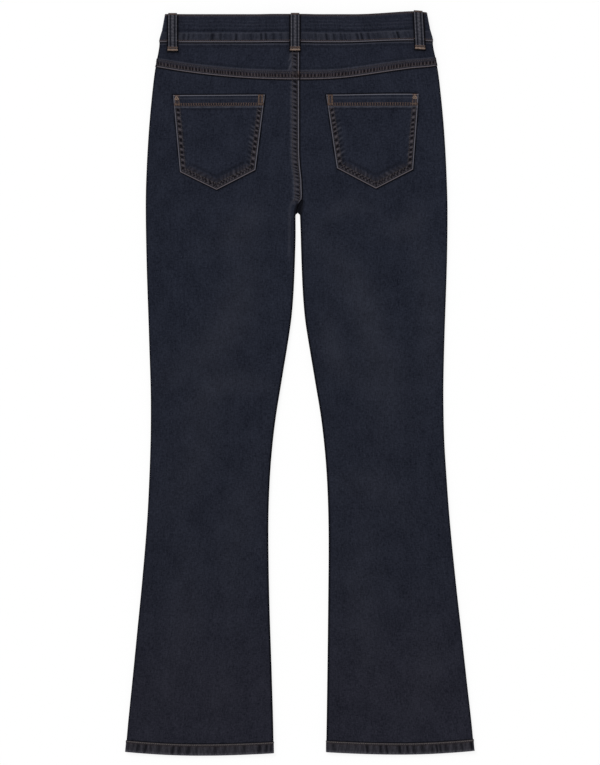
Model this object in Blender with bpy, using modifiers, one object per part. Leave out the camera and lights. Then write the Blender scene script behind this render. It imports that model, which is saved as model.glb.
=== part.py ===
"""Bootcut jeans laid flat on their front, with the back on top.

Metres, +Z up. The waist points along +Y and the wearer's left is at -X. The fronts lie on z = 0, and the
origin is under the middle of the outline. Every piece of cloth is a wall between an outer and an inner
grid of points, which are worked out from the sizes below. A place on the garment is given by how far
down it is from the top edge of the back, and by its x or its distance along the cloth.
"""

import math

import bmesh
import bpy
import numpy as np

# Thickness of the cloth and the spaces between pieces
CLOTH = 0.0012
BAND_CLOTH = 0.0024
HEM_CLOTH = 0.0022
SEAM_GAP = 0.0003
LAYER_GAP = 0.0005

# Lengths down the back
LENGTH = 1.1006
BAND_HEIGHT = 0.0417
YOKE_AT_CENTRE = 0.0965
YOKE_AT_SIDE = 0.0780
YOKE_HALF_WIDTH = 0.209
FORK = 0.2990
HEM_HEIGHT = 0.0172
HEM_TOP = LENGTH - HEM_HEIGHT

# Rounded edges, where the cloth turns from the back to the front
EDGE_RADIUS = 0.0025
BAND_RADIUS = 0.0033
HEM_RADIUS = 0.0030
EDGE_FADE = 0.040
HEM_PROUD = 0.0010
QUARTER = math.pi / 2
TURN_STEPS = 6

# The waist lies a little above the surface, on the front belt loops and the button
BAND_LIFT = 0.0022
BAND_STEP = (BAND_CLOTH - CLOTH) / 2
BAND_EASE = 0.012
YOKE_EASE = 0.030
WAIST_SLOPE = 0.060
HEM_STEP = (HEM_CLOTH - CLOTH) / 2
HEM_EASE = 0.045
CENTRE_X = -0.0053
FRONT_DIP = 0.021
FRONT_DIP_HALF_WIDTH = 0.199

# The waist is pulled up on the wearer's right: how much, from where to where, and how far down. The
# stiff seam at the foot of the waistband holds some of it back
RIGHT_LIFT = 0.0050
LIFT_STARTS = 0.045
LIFT_RISE = 0.105
LIFT_SHIFT = 0.040
LIFT_SHIFT_DOWN = 0.080
LIFT_LOST_AT_SIDE = 0.6
LIFT_FALLS = (0.165, 0.205)
LIFT_ENDS = (0.068, 0.150)
FOOT_HELD = 0.40
FOOT_REACH = 0.026

# The hems curve up at their seams, and the whole hem of the wearer's right leg lies a little higher
HEM_LIFT_AT_SIDE = 0.0058
HEM_LIFT_AT_INSEAM = 0.0038
RIGHT_HEM_LIFT = 0.0016
HEM_LIFT_REACH = 0.100

# The belt loop on the wearer's right stands this far above the top edge
LOOP_ABOVE_EDGE = 0.0055
TOP_Y = (LENGTH - LOOP_ABOVE_EDGE) / 2

# The waistband: half its reach between the rounded sides, and how far its ends pass the centre front
BAND_REACH = 0.1915
BAND_END_OVER = 0.008
BAND_END_UNDER = -0.034
OVERLAP_EASE = 0.026
OVERLAP_FADE = 0.045
BAND_STATIONS = (
    -BAND_REACH, -0.178, -0.160, -0.140, -0.120, -0.100, -0.080, -0.062, -0.047, BAND_END_UNDER,
    -0.017, 0.0, BAND_END_OVER, 0.016, 0.025, 0.034, 0.047, 0.062, 0.080, 0.100, 0.120, 0.140, 0.160,
    0.178, BAND_REACH,
)

# Felled seams: how wide, how proud, how far their step takes, and where the one at the seat runs out
FELL_WIDTH = 0.0125
SEAT_FELL_WIDTH = 0.0110
FELL_RISE = 0.0008
FELL_EDGE = 0.0008
SEAT_FELL_FADES = 0.264
SEAT_FELL_END = 0.278

# Front pocket openings and fly, measured on the cloth. Both end in part of an ellipse
SCOOP_WIDTH = 0.085
SCOOP_DEPTH = 0.065
SCOOP_ANGLES = (0, 20, 38, 54, 68, 78, 86)
FLY_WIDTH = 0.036
FLY_STRAIGHT = 0.105
FLY_CURVE = 0.030
FLY_ANGLES = (0, 30, 50, 68, 80)

# Belt loops: the levels of their cross sections, and the ribs across them
LOOP_WIDTH = 0.0130
LOOP_CLOTH = 0.0017
LOOP_TOP = -0.0012
LOOP_FOOT = 0.0548
LOOP_LEVELS = (LOOP_TOP, 0.010, 0.024, BAND_HEIGHT, BAND_HEIGHT + 0.004, LOOP_FOOT - 0.004, LOOP_FOOT)
LOOP_ACROSS = np.array((-1.0, -0.86, -0.43, 0.0, 0.43, 0.86, 1.0)) * LOOP_WIDTH / 2
LOOP_RIBS = np.array((0.75, 1.0, 0.85, 1.0, 0.85, 1.0, 0.75)) * LOOP_CLOTH
FRONT_LOOP_X = 0.105

# Back pockets: parts of the width and of the depth at which the grid has its lines
POCKET_RISE = 0.0008
POCKET_ACROSS = (0.0, 0.070, 0.078, 0.28, 0.5, 0.72, 0.922, 0.930, 1.0)
POCKET_DOWN = (0.0, 0.140, 0.148, 0.35, 0.55, 0.75, 0.892, 0.900, 1.0)

# Waist button
BUTTON_RADIUS = 0.0085
BUTTON_HEIGHT = 0.0019
BUTTON_RIM = 0.0006
BUTTON_DISH = 0.0053
BUTTON_X = CENTRE_X - 0.008
BUTTON_STEPS = 28


def table(names, *rows):
    """A short table as a dictionary: the name of each column and its values."""
    return dict(zip(names.split(), np.array(rows).T))


# Half the width of the garment and the x of its middle, which leans a little to the left at the waist
OUTLINE = table(
    "down half_width lean",
    (0.0000, 0.1945, -0.0058),
    (0.0230, 0.1990, -0.0056),
    (0.0416, 0.2034, -0.0055),
    (0.0418, 0.2029, -0.0055),
    (0.0680, 0.2070, -0.0053),
    (0.0850, 0.2102, -0.0052),
    (0.1120, 0.2137, -0.0051),
    (0.1720, 0.2193, -0.0050),
    (0.2460, 0.2233, -0.0050),
    (0.2900, 0.2242, -0.0048),
    (0.3650, 0.2232, -0.0046),
    (0.4830, 0.2194, -0.0046),
    (0.5720, 0.2174, -0.0041),
    (0.6320, 0.2182, -0.0036),
    (0.6910, 0.2210, -0.0028),
    (0.7510, 0.2248, -0.0021),
    (0.8400, 0.2328, -0.0014),
    (0.9290, 0.2421, -0.0008),
    (1.0480, 0.2542, -0.0002),
    (1.1006, 0.2588, 0.0000),
)

# Half the space between the legs and the x of its middle
LEG_GAP = table(
    "down half_gap lean",
    (0.2990, 0.0033, -0.0031),
    (0.3350, 0.0039, -0.0025),
    (0.3940, 0.0059, -0.0025),
    (0.4240, 0.0076, -0.0025),
    (0.4540, 0.0104, -0.0025),
    (0.4830, 0.0147, -0.0024),
    (0.5430, 0.0246, -0.0023),
    (0.6020, 0.0341, -0.0022),
    (0.6620, 0.0405, -0.0022),
    (0.7210, 0.0438, -0.0022),
    (0.7800, 0.0447, -0.0020),
    (0.8700, 0.0437, -0.0016),
    (0.9880, 0.0411, -0.0004),
    (1.0770, 0.0393, 0.0001),
    (1.1006, 0.0390, 0.0001),
)

# The centre-back seam, which wanders to the right above the fork
SEAT_SEAM = table(
    "down x",
    (0.0000, -0.0011),
    (0.2000, -0.0011),
    (0.2220, -0.0001),
    (0.2520, 0.0025),
    (0.2740, 0.0024),
    (0.2870, -0.0014),
    (0.2990, -0.0031),
)

# The centre-front seam
FLY_SEAM = table(
    "down x",
    (0.0000, -0.0053),
    (0.2000, -0.0051),
    (0.2990, -0.0031),
)

# Corners of the back pockets: outer and inner end of the top edge, inner foot, tip and outer foot
POCKET_CORNERS = {
    "left": table(
        "x down",
        (-0.1882, 0.1198),
        (-0.0520, 0.1190),
        (-0.0661, 0.2309),
        (-0.1237, 0.2604),
        (-0.1780, 0.2339),
    ),
    "right": table(
        "x down",
        (0.1763, 0.1193),
        (0.0390, 0.1191),
        (0.0551, 0.2282),
        (0.1130, 0.2585),
        (0.1681, 0.2301),
    ),
}

# Belt loops on the back: x of the middle at the top and at the foot
BACK_LOOPS = {
    "belt_loop_back": (-0.0071, -0.0071),
    "belt_loop_back_left": (-0.1887, -0.1887),
    "belt_loop_back_right": (0.1753, 0.1785),
}

# Levels of the cross sections, closer together at the fork and the hem
BACK_FORK_LEVELS = (0.252, 0.264, 0.270, 0.275, 0.278, 0.282, 0.286, 0.291, 0.295, 0.299, 0.306)
FRONT_FORK_LEVELS = (0.230, 0.260, 0.280, 0.287, 0.293, 0.2952, 0.296, 0.2972, 0.299, 0.306)
LEG_LEVELS = (
    0.320, 0.345, 0.380, 0.415, 0.450, 0.490, 0.540, 0.590, 0.640, 0.690, 0.745, 0.800, 0.860,
    0.920, 0.980, 1.030, 1.048, 1.060, 1.072, HEM_TOP - SEAM_GAP / 2,
)
BACK_LEVELS = (0.140, 0.170, 0.200, 0.230) + BACK_FORK_LEVELS + LEG_LEVELS
FRONT_LEVELS = FRONT_FORK_LEVELS + LEG_LEVELS

# Distances from an edge at which every panel has a line of points
EDGE_STEPS = (0.0, 0.0013, 0.0026, 0.0039)
FADE_STEPS = (0.012, 0.021, 0.030, EDGE_FADE)
PLAIN_STEPS = EDGE_STEPS + FADE_STEPS
SEAT_FELL_STEPS = EDGE_STEPS + (SEAT_FELL_WIDTH, SEAT_FELL_WIDTH + FELL_EDGE) + FADE_STEPS[1:]
NO_STEPS = (0.0,)

# Colour as the material takes it, roughness and metallic value
INDIGO = ((0.0159, 0.0185, 0.0284), 0.9, 0.0)
WORN_INDIGO = ((0.0232, 0.0252, 0.0352), 0.9, 0.0)
AGED_BRASS = ((0.196, 0.128, 0.066), 0.35, 1.0)


def smoothstep(value, start, end):
    """0 before start, 1 after end, and an even curve between them."""
    part = np.clip((value - start) / (end - start), 0.0, 1.0)
    return part * part * (3.0 - 2.0 * part)


def between(first, second, part):
    return first + (second - first) * part


def curve(columns, name):
    """A function that gives the named column at any level, on a smooth curve through the table's rows."""
    levels = columns["down"]
    values = columns[name]
    steps = np.diff(levels)
    grades = np.diff(values) / steps
    slopes = np.concatenate([grades[:1], (grades[:-1] + grades[1:]) / 2, grades[-1:]])
    slopes[1:-1][grades[:-1] * grades[1:] <= 0] = 0.0

    def at(down):
        down = np.clip(down, levels[0], levels[-1])
        index = np.clip(np.searchsorted(levels, down) - 1, 0, len(steps) - 1)
        step = steps[index]
        part = (down - levels[index]) / step
        rest = 1.0 - part
        from_upper = rest * rest * ((1.0 + 2.0 * part) * values[index] + part * step * slopes[index])
        from_lower = part * part * ((3.0 - 2.0 * part) * values[index + 1] - rest * step * slopes[index + 1])
        return from_upper + from_lower

    return at


half_width = curve(OUTLINE, "half_width")
outline_lean = curve(OUTLINE, "lean")
half_gap = curve(LEG_GAP, "half_gap")
gap_lean = curve(LEG_GAP, "lean")
seat_seam = curve(SEAT_SEAM, "x")
fly_seam = curve(FLY_SEAM, "x")


def side_x(hand, down):
    """x of the side edge: hand is -1 on the wearer's left and 1 on the right."""
    return outline_lean(down) + hand * half_width(down)


class Layer:
    """The backs, which face up, or the fronts, which face down.

    Both end at a centre seam above the fork and at the inseam below it. The two halves part between
    parts_at and parted_by, and their inner edge turns over between turns_from and turns_to.
    """

    def __init__(self, faces, seam, parts_at, parted_by, turns_from, turns_to):
        self.faces = faces
        self.seam = seam
        self.parts_at = parts_at
        self.parted_by = parted_by
        self.turns_from = turns_from
        self.turns_to = turns_to

    def turn(self, down):
        """Angle that the inner edge has turned through: none at a flat seam, a quarter at an inseam."""
        return QUARTER * smoothstep(down, self.turns_from, self.turns_to)

    def inner_x(self, hand, down):
        """x of the inner edge of one half."""
        part = np.clip((down - self.parts_at) / (self.parted_by - self.parts_at), 0.0, 1.0)
        above_fork = between(SEAM_GAP / 2, LEG_GAP["half_gap"][0], np.sqrt(part * (2.0 - part)))
        middle = np.where(down < FORK, self.seam(down), gap_lean(down))
        return middle + hand * np.where(down < FORK, above_fork, half_gap(down))

    def width(self, hand, down):
        """Width of one half, measured on its outer face from rim to rim."""
        turn = self.turn(down)
        turned_over = QUARTER - 1.0 + turn - np.sin(turn)
        return np.abs(side_x(hand, down) - self.inner_x(hand, down)) + EDGE_RADIUS * turned_over


BACK = Layer(1.0, seat_seam, 0.2750, 0.2910, 0.262, 0.300)
FRONT = Layer(-1.0, fly_seam, 0.2952, 0.2990, 0.283, 0.303)


def front_dip(x):
    """How much lower the front of the waistband lies than its back."""
    part = np.clip((x - CENTRE_X) / FRONT_DIP_HALF_WIDTH, -1.0, 1.0)
    return FRONT_DIP * (1.0 - part * part) ** 2


def below_front_band(x, down):
    """Distance below the lower edge of the front of the waistband."""
    return down - BAND_HEIGHT - front_dip(x)


def overlap(x):
    """1 where the two ends of the waistband lie on each other, and 0 well away from there."""
    across = x - CENTRE_X
    left = smoothstep(across, BAND_END_UNDER - OVERLAP_EASE, BAND_END_UNDER)
    return left * (1.0 - smoothstep(across, BAND_END_OVER, BAND_END_OVER + OVERLAP_EASE))


def at_hem(down):
    return smoothstep(down, HEM_TOP - HEM_EASE, HEM_TOP)


def front_floor(x, down):
    """Height of the outer face of the fronts, which is 0 where they lie on the surface."""
    loop_end = LOOP_FOOT - BAND_HEIGHT
    at_waist = 1.0 - smoothstep(below_front_band(x, down), loop_end, loop_end + WAIST_SLOPE)
    return (BAND_LIFT + BAND_STEP) * at_waist + HEM_STEP * at_hem(down)


def fronts_top(x, down):
    """Height of the upper side of everything that lies under the back."""
    below = below_front_band(x, down)
    band_edge = BAND_STEP * (1.0 - smoothstep(below, 0.0, BAND_EASE))
    second_end = (BAND_CLOTH + SEAM_GAP) * overlap(x) * (1.0 - smoothstep(below, 0.0, OVERLAP_FADE))
    return front_floor(x, down) + CLOTH + band_edge + second_end


def back_middle(x, down):
    """Height of the outer face of the back, away from its edges."""
    under_band = BAND_STEP * (1.0 - smoothstep(down, BAND_HEIGHT, BAND_HEIGHT + YOKE_EASE))
    return fronts_top(x, down) + LAYER_GAP + CLOTH + under_band + 2 * HEM_STEP * at_hem(down)


def back_height(hand, x, down):
    """Height of the outer face of the back, which stands up a little along its rounded edges."""
    side = side_x(hand, down)
    inner = BACK.inner_x(hand, down)
    turn = BACK.turn(down)
    side_rise = front_floor(side, down) + 2 * EDGE_RADIUS + SEAM_GAP - back_middle(side, down)
    inner_rise = (2 * (EDGE_RADIUS - CLOTH) + SEAM_GAP - LAYER_GAP) * (1.0 - np.cos(turn))
    by_side = 1.0 - smoothstep(np.abs(x - side) - EDGE_RADIUS, 0.0, EDGE_FADE)
    by_inner = 1.0 - smoothstep(np.abs(x - inner) - EDGE_RADIUS * np.sin(turn), 0.0, EDGE_FADE)
    return back_middle(x, down) + side_rise * by_side + inner_rise * by_inner


def cloth_top(x, down):
    """Height of the outer face of the yokes and the backs, on either half."""
    return back_height(np.where(x < seat_seam(down), -1.0, 1.0), x, down)


def band_top(x, down):
    """Height of the outer face of the back of the waistband."""
    middle = fronts_top(x, down) + LAYER_GAP + BAND_CLOTH
    rise = BAND_LIFT + 2 * BAND_RADIUS - middle
    from_side = half_width(down) - BAND_RADIUS - np.abs(x - outline_lean(down))
    return middle + rise * (1.0 - smoothstep(from_side, 0.0, EDGE_FADE))


def right_lift(x, down):
    """How much the waist is pulled up on the wearer's right."""
    across = x - CENTRE_X
    starts = LIFT_STARTS + LIFT_SHIFT * (1.0 - smoothstep(down, 0.0, LIFT_SHIFT_DOWN))
    rises = smoothstep(across, starts, starts + LIFT_RISE)
    falls = 1.0 - LIFT_LOST_AT_SIDE * smoothstep(across, *LIFT_FALLS)
    held = 1.0 - FOOT_HELD * np.exp(-(((down - BAND_HEIGHT) / FOOT_REACH) ** 2))
    return RIGHT_LIFT * rises * falls * held * (1.0 - smoothstep(down, *LIFT_ENDS))


def hem_lift(x, down):
    """How much the hem curves up towards its side seam and its inseam."""
    hand = np.where(x < gap_lean(down), -1.0, 1.0)
    side = side_x(hand, down)
    inner = gap_lean(down) + hand * half_gap(down)
    part = np.clip((x - side) / (inner - side), 0.0, 1.0)
    most = np.where(part < 0.5, HEM_LIFT_AT_SIDE, HEM_LIFT_AT_INSEAM)
    shape = most * (1.0 - 2.0 * part) ** 2 + np.where(hand > 0.0, RIGHT_HEM_LIFT, 0.0)
    return shape * smoothstep(down, HEM_TOP - HEM_LIFT_REACH, HEM_TOP)


def place(x, down, z):
    """World coordinates of the point at x, this far down the garment and z above the surface."""
    x, down, z = np.broadcast_arrays(x, down, z)
    return np.stack([x, TOP_Y - down + right_lift(x, down) + hem_lift(x, down), z], axis=-1)


def cloth_point(layer, hand, along, down, depth):
    """x and z of a point of a layer.

    along is measured on the outer face from the rim at the side, and depth goes in from that face.
    """
    side = side_x(hand, down)
    inner = layer.inner_x(hand, down)
    turn = layer.turn(down)
    to_inner = layer.width(hand, down) - along
    side_angle = np.clip(QUARTER - along / EDGE_RADIUS, 0.0, QUARTER)
    inner_angle = np.clip(turn - to_inner / EDGE_RADIUS, 0.0, QUARTER)
    past_turn = np.maximum(along - EDGE_RADIUS * QUARTER, 0.0)
    from_side = past_turn + EDGE_RADIUS * (1.0 - np.sin(side_angle))
    from_inner = EDGE_RADIUS * (np.sin(turn) - np.sin(inner_angle))
    x = np.where(inner_angle > 0.0, inner + hand * from_inner, side - hand * from_side)
    flat_end = np.abs(side - inner) - EDGE_RADIUS * np.sin(turn)
    flat_x = side - hand * np.clip(np.abs(side - x), EDGE_RADIUS, flat_end)
    height = back_height(hand, flat_x, down) if layer is BACK else front_floor(flat_x, down)
    angle = np.maximum(side_angle, inner_angle)
    z = height - layer.faces * (EDGE_RADIUS * (1.0 - np.cos(angle)) + depth * np.cos(angle))
    return x + hand * depth * (np.sin(inner_angle) - np.sin(side_angle)), z


def finish_of(name, finish):
    """The piece's own material."""
    colour, roughness, metallic = finish
    material = bpy.data.materials.new(name + "_finish")
    material.use_nodes = True
    shader = material.node_tree.nodes["Principled BSDF"]
    shader.inputs["Base Color"].default_value = (*colour, 1.0)
    shader.inputs["Roughness"].default_value = roughness
    shader.inputs["Metallic"].default_value = metallic
    material.diffuse_color = (*colour, 1.0)
    return material


def add_object(name, mesh, finish):
    mesh.materials.append(finish_of(name, finish))
    mesh.shade_smooth()
    mesh.set_sharp_from_angle(angle=math.radians(40))
    made = bpy.data.objects.new(name, mesh)
    bpy.data.collections["bootcut_jeans"].objects.link(made)
    return made


def wall_faces(rows, columns, ring):
    """Faces of a closed wall whose outer grid of points is followed by its inner one."""
    inside = rows * columns
    spans = columns if ring else columns - 1
    faces = []
    for row in range(rows - 1):
        for column in range(spans):
            first = columns * row + column
            second = columns * row + (column + 1) % columns
            corners = (first, second, second + columns, first + columns)
            faces.append(corners)
            faces.append([inside + corner for corner in reversed(corners)])
    for row in (0, rows - 1):
        for column in range(spans):
            first = columns * row + column
            second = columns * row + (column + 1) % columns
            faces.append((second, first, inside + first, inside + second))
    for column in () if ring else (0, columns - 1):
        for row in range(rows - 1):
            first = columns * row + column
            second = first + columns
            faces.append((first, second, inside + second, inside + first))
    return faces


def add_wall(name, outer, inner, finish, ring=False):
    """One closed solid between two grids of points. A ring joins its last column to its first."""
    outer = np.array(outer)
    inner = np.array(inner)
    rows, columns = outer.shape[:2]
    points = np.concatenate([outer.reshape(-1, 3), inner.reshape(-1, 3)])
    mesh = bpy.data.meshes.new(name)
    mesh.from_pydata(points.tolist(), [], wall_faces(rows, columns, ring))
    work = bmesh.new()
    work.from_mesh(mesh)
    bmesh.ops.recalc_face_normals(work, faces=work.faces)
    work.to_mesh(mesh)
    work.free()
    return add_object(name, mesh, finish)


def columns_of(near, middle, far):
    """Where the columns of a grid lie: at set distances from each edge, and evenly spread between."""
    near = np.array(near)
    far = np.array(far)[::-1]
    parts = np.linspace(0.0, 1.0, middle + 2)[1:-1]
    weights = np.concatenate([np.zeros(len(near)), parts, np.ones(len(far))])
    offsets = np.concatenate([near, (1.0 - parts) * near[-1] - parts * far[0], -far])
    return weights, offsets


def straight(level):
    """A line straight across the cloth at one level."""
    return lambda x: np.full_like(x, level)


def lines_between(upper, lower, parts):
    """Lines that change evenly from one line across the cloth to another."""
    return [lambda x, part=part: between(upper(x), lower(x), part) for part in parts]


def lines_below_band(distances):
    """Lines that follow the lower edge of the front of the waistband."""
    return [lambda x, below=below: BAND_HEIGHT + front_dip(x) + below for below in distances]


def no_margin(x, down):
    return np.zeros_like(x)


def no_relief(x, down, to_inner):
    return np.zeros_like(x)


def add_panel(name, layer, hand, lines, columns, start=no_margin, end=no_margin, relief=no_relief):
    """A panel of one layer, with a row of points on each line.

    start and end are its margins from the side rim and from the inner rim. A point's level depends on
    its x and its x on its level, so each row is worked out in a few rounds.
    """
    weights, offsets = columns
    outer = []
    inner = []
    for line in lines:
        x = side_x(hand, 0.0) * (1.0 - weights)
        for _ in range(6):
            down = line(x)
            width = layer.width(hand, down)
            first = start(x, down)
            last = width - end(x, down)
            along = between(first, last, weights) + offsets
            x, _z = cloth_point(layer, hand, along, down, 0.0)
        outer_x, outer_z = cloth_point(layer, hand, along, down, -relief(x, down, width - along))
        inner_x, inner_z = cloth_point(layer, hand, along, down, CLOTH)
        outer.append(place(outer_x, down, outer_z))
        inner.append(place(inner_x, down, inner_z))
    return add_wall(name, outer, inner, INDIGO)


def yoke_line(x):
    """Level of the seam between a yoke and the back below it."""
    part = (x - CENTRE_X) / YOKE_HALF_WIDTH
    return between(YOKE_AT_CENTRE, YOKE_AT_SIDE, part * part)


def seat_fell(x, down, to_inner):
    """The felled seam down the centre back, raised on the wearer's left of the seam."""
    raised = 1.0 - smoothstep(to_inner, SEAT_FELL_WIDTH, SEAT_FELL_WIDTH + FELL_EDGE)
    return FELL_RISE * raised * (1.0 - smoothstep(down, SEAT_FELL_FADES, SEAT_FELL_END))


def yoke_fell(x, down, to_inner):
    """The felled seam along the foot of a yoke."""
    above_seam = yoke_line(x) - down
    return FELL_RISE * (1.0 - smoothstep(above_seam, FELL_WIDTH, FELL_WIDTH + FELL_EDGE))


def both_fells(x, down, to_inner):
    return np.maximum(seat_fell(x, down, to_inner), yoke_fell(x, down, to_inner))


def add_yokes():
    top = straight(BAND_HEIGHT + SEAM_GAP / 2)
    lines = lines_between(top, lambda x: yoke_line(x) - FELL_WIDTH - FELL_EDGE, (0.0, 0.3, 0.65, 1.0))
    lines.append(lambda x: yoke_line(x) - FELL_WIDTH)
    lines.append(lambda x: yoke_line(x) - SEAM_GAP / 2)
    add_panel("yoke_left", BACK, -1.0, lines, columns_of(PLAIN_STEPS, 4, SEAT_FELL_STEPS), relief=both_fells)
    add_panel("yoke_right", BACK, 1.0, lines, columns_of(PLAIN_STEPS, 4, PLAIN_STEPS), relief=yoke_fell)


def add_backs():
    lines = lines_between(lambda x: yoke_line(x) + SEAM_GAP / 2, straight(BACK_LEVELS[0]), (0.0, 0.33, 0.67))
    lines += [straight(level) for level in BACK_LEVELS]
    add_panel("back_left", BACK, -1.0, lines, columns_of(PLAIN_STEPS, 3, SEAT_FELL_STEPS), relief=seat_fell)
    add_panel("back_right", BACK, 1.0, lines, columns_of(PLAIN_STEPS, 3, PLAIN_STEPS))


def quarter_ellipse(width, part):
    """Width of a quarter ellipse at this part of its depth, and 0 past its end."""
    inside = np.clip(part, 0.0, 1.0)
    return np.where(part < 1.0, width * np.sqrt(1.0 - inside * inside), 0.0)


def ellipse_steps(depth, angles):
    return [depth * math.sin(math.radians(angle)) for angle in angles]


def scoop(trim):
    """Width of the pocket opening in a front, from the side rim, with this much trimmed off."""
    width = SCOOP_WIDTH - trim
    depth = SCOOP_DEPTH - trim
    return lambda x, down: quarter_ellipse(width, below_front_band(x, down) / depth)


def flap(trim):
    """Width of the fly, from the centre front, with this much trimmed off."""
    width = FLY_WIDTH - trim
    depth = FLY_CURVE - trim
    return lambda x, down: quarter_ellipse(width, (below_front_band(x, down) - FLY_STRAIGHT) / depth)


def add_fronts():
    distances = [SEAM_GAP / 2] + ellipse_steps(SCOOP_DEPTH, SCOOP_ANGLES[1:])
    distances += [SCOOP_DEPTH + SEAM_GAP, (SCOOP_DEPTH + FLY_STRAIGHT) / 2]
    distances += [FLY_STRAIGHT + step for step in ellipse_steps(FLY_CURVE, FLY_ANGLES)]
    distances.append(FLY_STRAIGHT + FLY_CURVE + SEAM_GAP)
    lines = lines_below_band(distances) + [straight(level) for level in FRONT_LEVELS]
    columns = columns_of(EDGE_STEPS, 5, EDGE_STEPS)
    add_panel("front_left", FRONT, -1.0, lines, columns, start=scoop(0.0), end=flap(0.0))
    add_panel("front_right", FRONT, 1.0, lines, columns, start=scoop(0.0))


def add_front_pockets():
    """The pocket facings that fill the curved openings of the fronts."""
    distances = [SEAM_GAP / 2] + ellipse_steps(SCOOP_DEPTH - SEAM_GAP, SCOOP_ANGLES[1:])
    columns = columns_of(EDGE_STEPS, 4, NO_STEPS)
    filled = scoop(SEAM_GAP)
    for name, hand in (("front_pocket_left", -1.0), ("front_pocket_right", 1.0)):

        def rest_of_front(x, down, hand=hand):
            return FRONT.width(hand, down) - filled(x, down)

        add_panel(name, FRONT, hand, lines_below_band(distances), columns, end=rest_of_front)


def add_fly():
    """The flap over the centre front, on the wearer's left front."""
    distances = [SEAM_GAP / 2, FLY_STRAIGHT / 3, FLY_STRAIGHT * 2 / 3]
    distances += [FLY_STRAIGHT + step for step in ellipse_steps(FLY_CURVE - SEAM_GAP, FLY_ANGLES)]
    filled = flap(SEAM_GAP)

    def rest_of_front(x, down):
        return FRONT.width(-1.0, down) - filled(x, down)

    columns = columns_of(NO_STEPS, 3, NO_STEPS)
    add_panel("fly", FRONT, -1.0, lines_below_band(distances), columns, start=rest_of_front)


def band_stations():
    """Stations round the waistband, from its upper end at the centre front to the end under it.

    Each has its place across, the angle it is turned over (0 in front, pi at the back) and whether it is
    on the end that lies behind the other.
    """
    front_left = [(across, 0.0, False) for across in reversed(BAND_STATIONS) if across <= BAND_END_OVER]
    back = [(across, math.pi, False) for across in BAND_STATIONS]
    front_right = [(across, 0.0, True) for across in reversed(BAND_STATIONS) if across >= BAND_END_UNDER]
    turns = [math.pi * step / TURN_STEPS for step in range(1, TURN_STEPS)]
    left_turn = [(-BAND_REACH, angle, False) for angle in turns]
    right_turn = [(BAND_REACH, angle, False) for angle in reversed(turns)]
    return front_left + left_turn + back + right_turn + front_right


def band_point(level, across, angle, behind, depth):
    """A point of the waistband, this far down its height and in from its outer face."""
    reach = half_width(level) - BAND_RADIUS
    x = outline_lean(level) + across / BAND_REACH * reach
    if angle == 0.0:
        lift = (BAND_CLOTH + SEAM_GAP) * overlap(x) if behind else 0.0
        return place(x, level + front_dip(x), BAND_LIFT + lift + depth)
    if angle == math.pi:
        return place(x, level, band_top(x, level) - depth)
    radius = BAND_RADIUS - depth
    turned_x = x + math.copysign(radius * math.sin(angle), across)
    return place(turned_x, level, BAND_LIFT + BAND_RADIUS - radius * math.cos(angle))


def add_waistband():
    levels = np.linspace(0.0, BAND_HEIGHT - SEAM_GAP / 2, 4)
    stations = band_stations()
    outer = [[band_point(level, *station, 0.0) for station in stations] for level in levels]
    inner = [[band_point(level, *station, BAND_CLOTH) for station in stations] for level in levels]
    add_wall("waistband", outer, inner, INDIGO)


def add_back_loops():
    for name, (top_x, foot_x) in BACK_LOOPS.items():
        on_fell = FELL_RISE if name == "belt_loop_back" else 0.0
        outer = []
        inner = []
        for down in LOOP_LEVELS:
            x = between(top_x, foot_x, (down - LOOP_TOP) / (LOOP_FOOT - LOOP_TOP)) + LOOP_ACROSS
            on_band = down <= BAND_HEIGHT
            carried = band_top(x, max(down, 0.0)) if on_band else cloth_top(x, down) + on_fell
            outer.append(place(x, down, carried + SEAM_GAP + LOOP_RIBS))
            inner.append(place(x, down, carried + SEAM_GAP))
        add_wall(name, outer, inner, WORN_INDIGO)


def add_front_loops():
    for name, hand in (("belt_loop_front_left", -1.0), ("belt_loop_front_right", 1.0)):
        x = CENTRE_X + hand * FRONT_LOOP_X + LOOP_ACROSS
        outer = []
        inner = []
        for level in LOOP_LEVELS:
            down = level + front_dip(x)
            carried = BAND_LIFT if level <= BAND_HEIGHT else front_floor(x, down)
            outer.append(place(x, down, 0.0))
            inner.append(place(x, down, carried - SEAM_GAP))
        add_wall(name, outer, inner, WORN_INDIGO)


def hem_section(hand, level, depth):
    """Points round one leg opening: over the top from the side, and back under it."""
    radius = HEM_RADIUS - depth
    side = side_x(hand, level) + hand * (HEM_PROUD - HEM_RADIUS)
    inner = gap_lean(level) + hand * (half_gap(level) - HEM_PROUD / 2 + HEM_RADIUS)
    width = abs(side - inner)
    fades = np.array((0.0, 0.010, 0.020, 0.030, EDGE_FADE))
    steps = np.concatenate([fades, np.linspace(EDGE_FADE, width - EDGE_FADE, 5)[1:-1], width - fades[::-1]])
    from_edge = np.minimum(steps, width - steps)
    middle = 2 * HEM_CLOTH + LAYER_GAP
    top = middle + (2 * HEM_RADIUS - middle) * (1.0 - smoothstep(from_edge, 0.0, EDGE_FADE)) - depth
    angles = [math.pi * step / TURN_STEPS for step in range(1, TURN_STEPS)]
    points = [place(side - hand * step, level, height) for step, height in zip(steps, top)]
    for angle in reversed(angles):
        x = inner - hand * radius * math.sin(angle)
        points.append(place(x, level, HEM_RADIUS - radius * math.cos(angle)))
    points += [place(inner + hand * step, level, depth) for step in np.linspace(0.0, width, 6)]
    for angle in angles:
        x = side + hand * radius * math.sin(angle)
        points.append(place(x, level, HEM_RADIUS - radius * math.cos(angle)))
    return points


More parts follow.
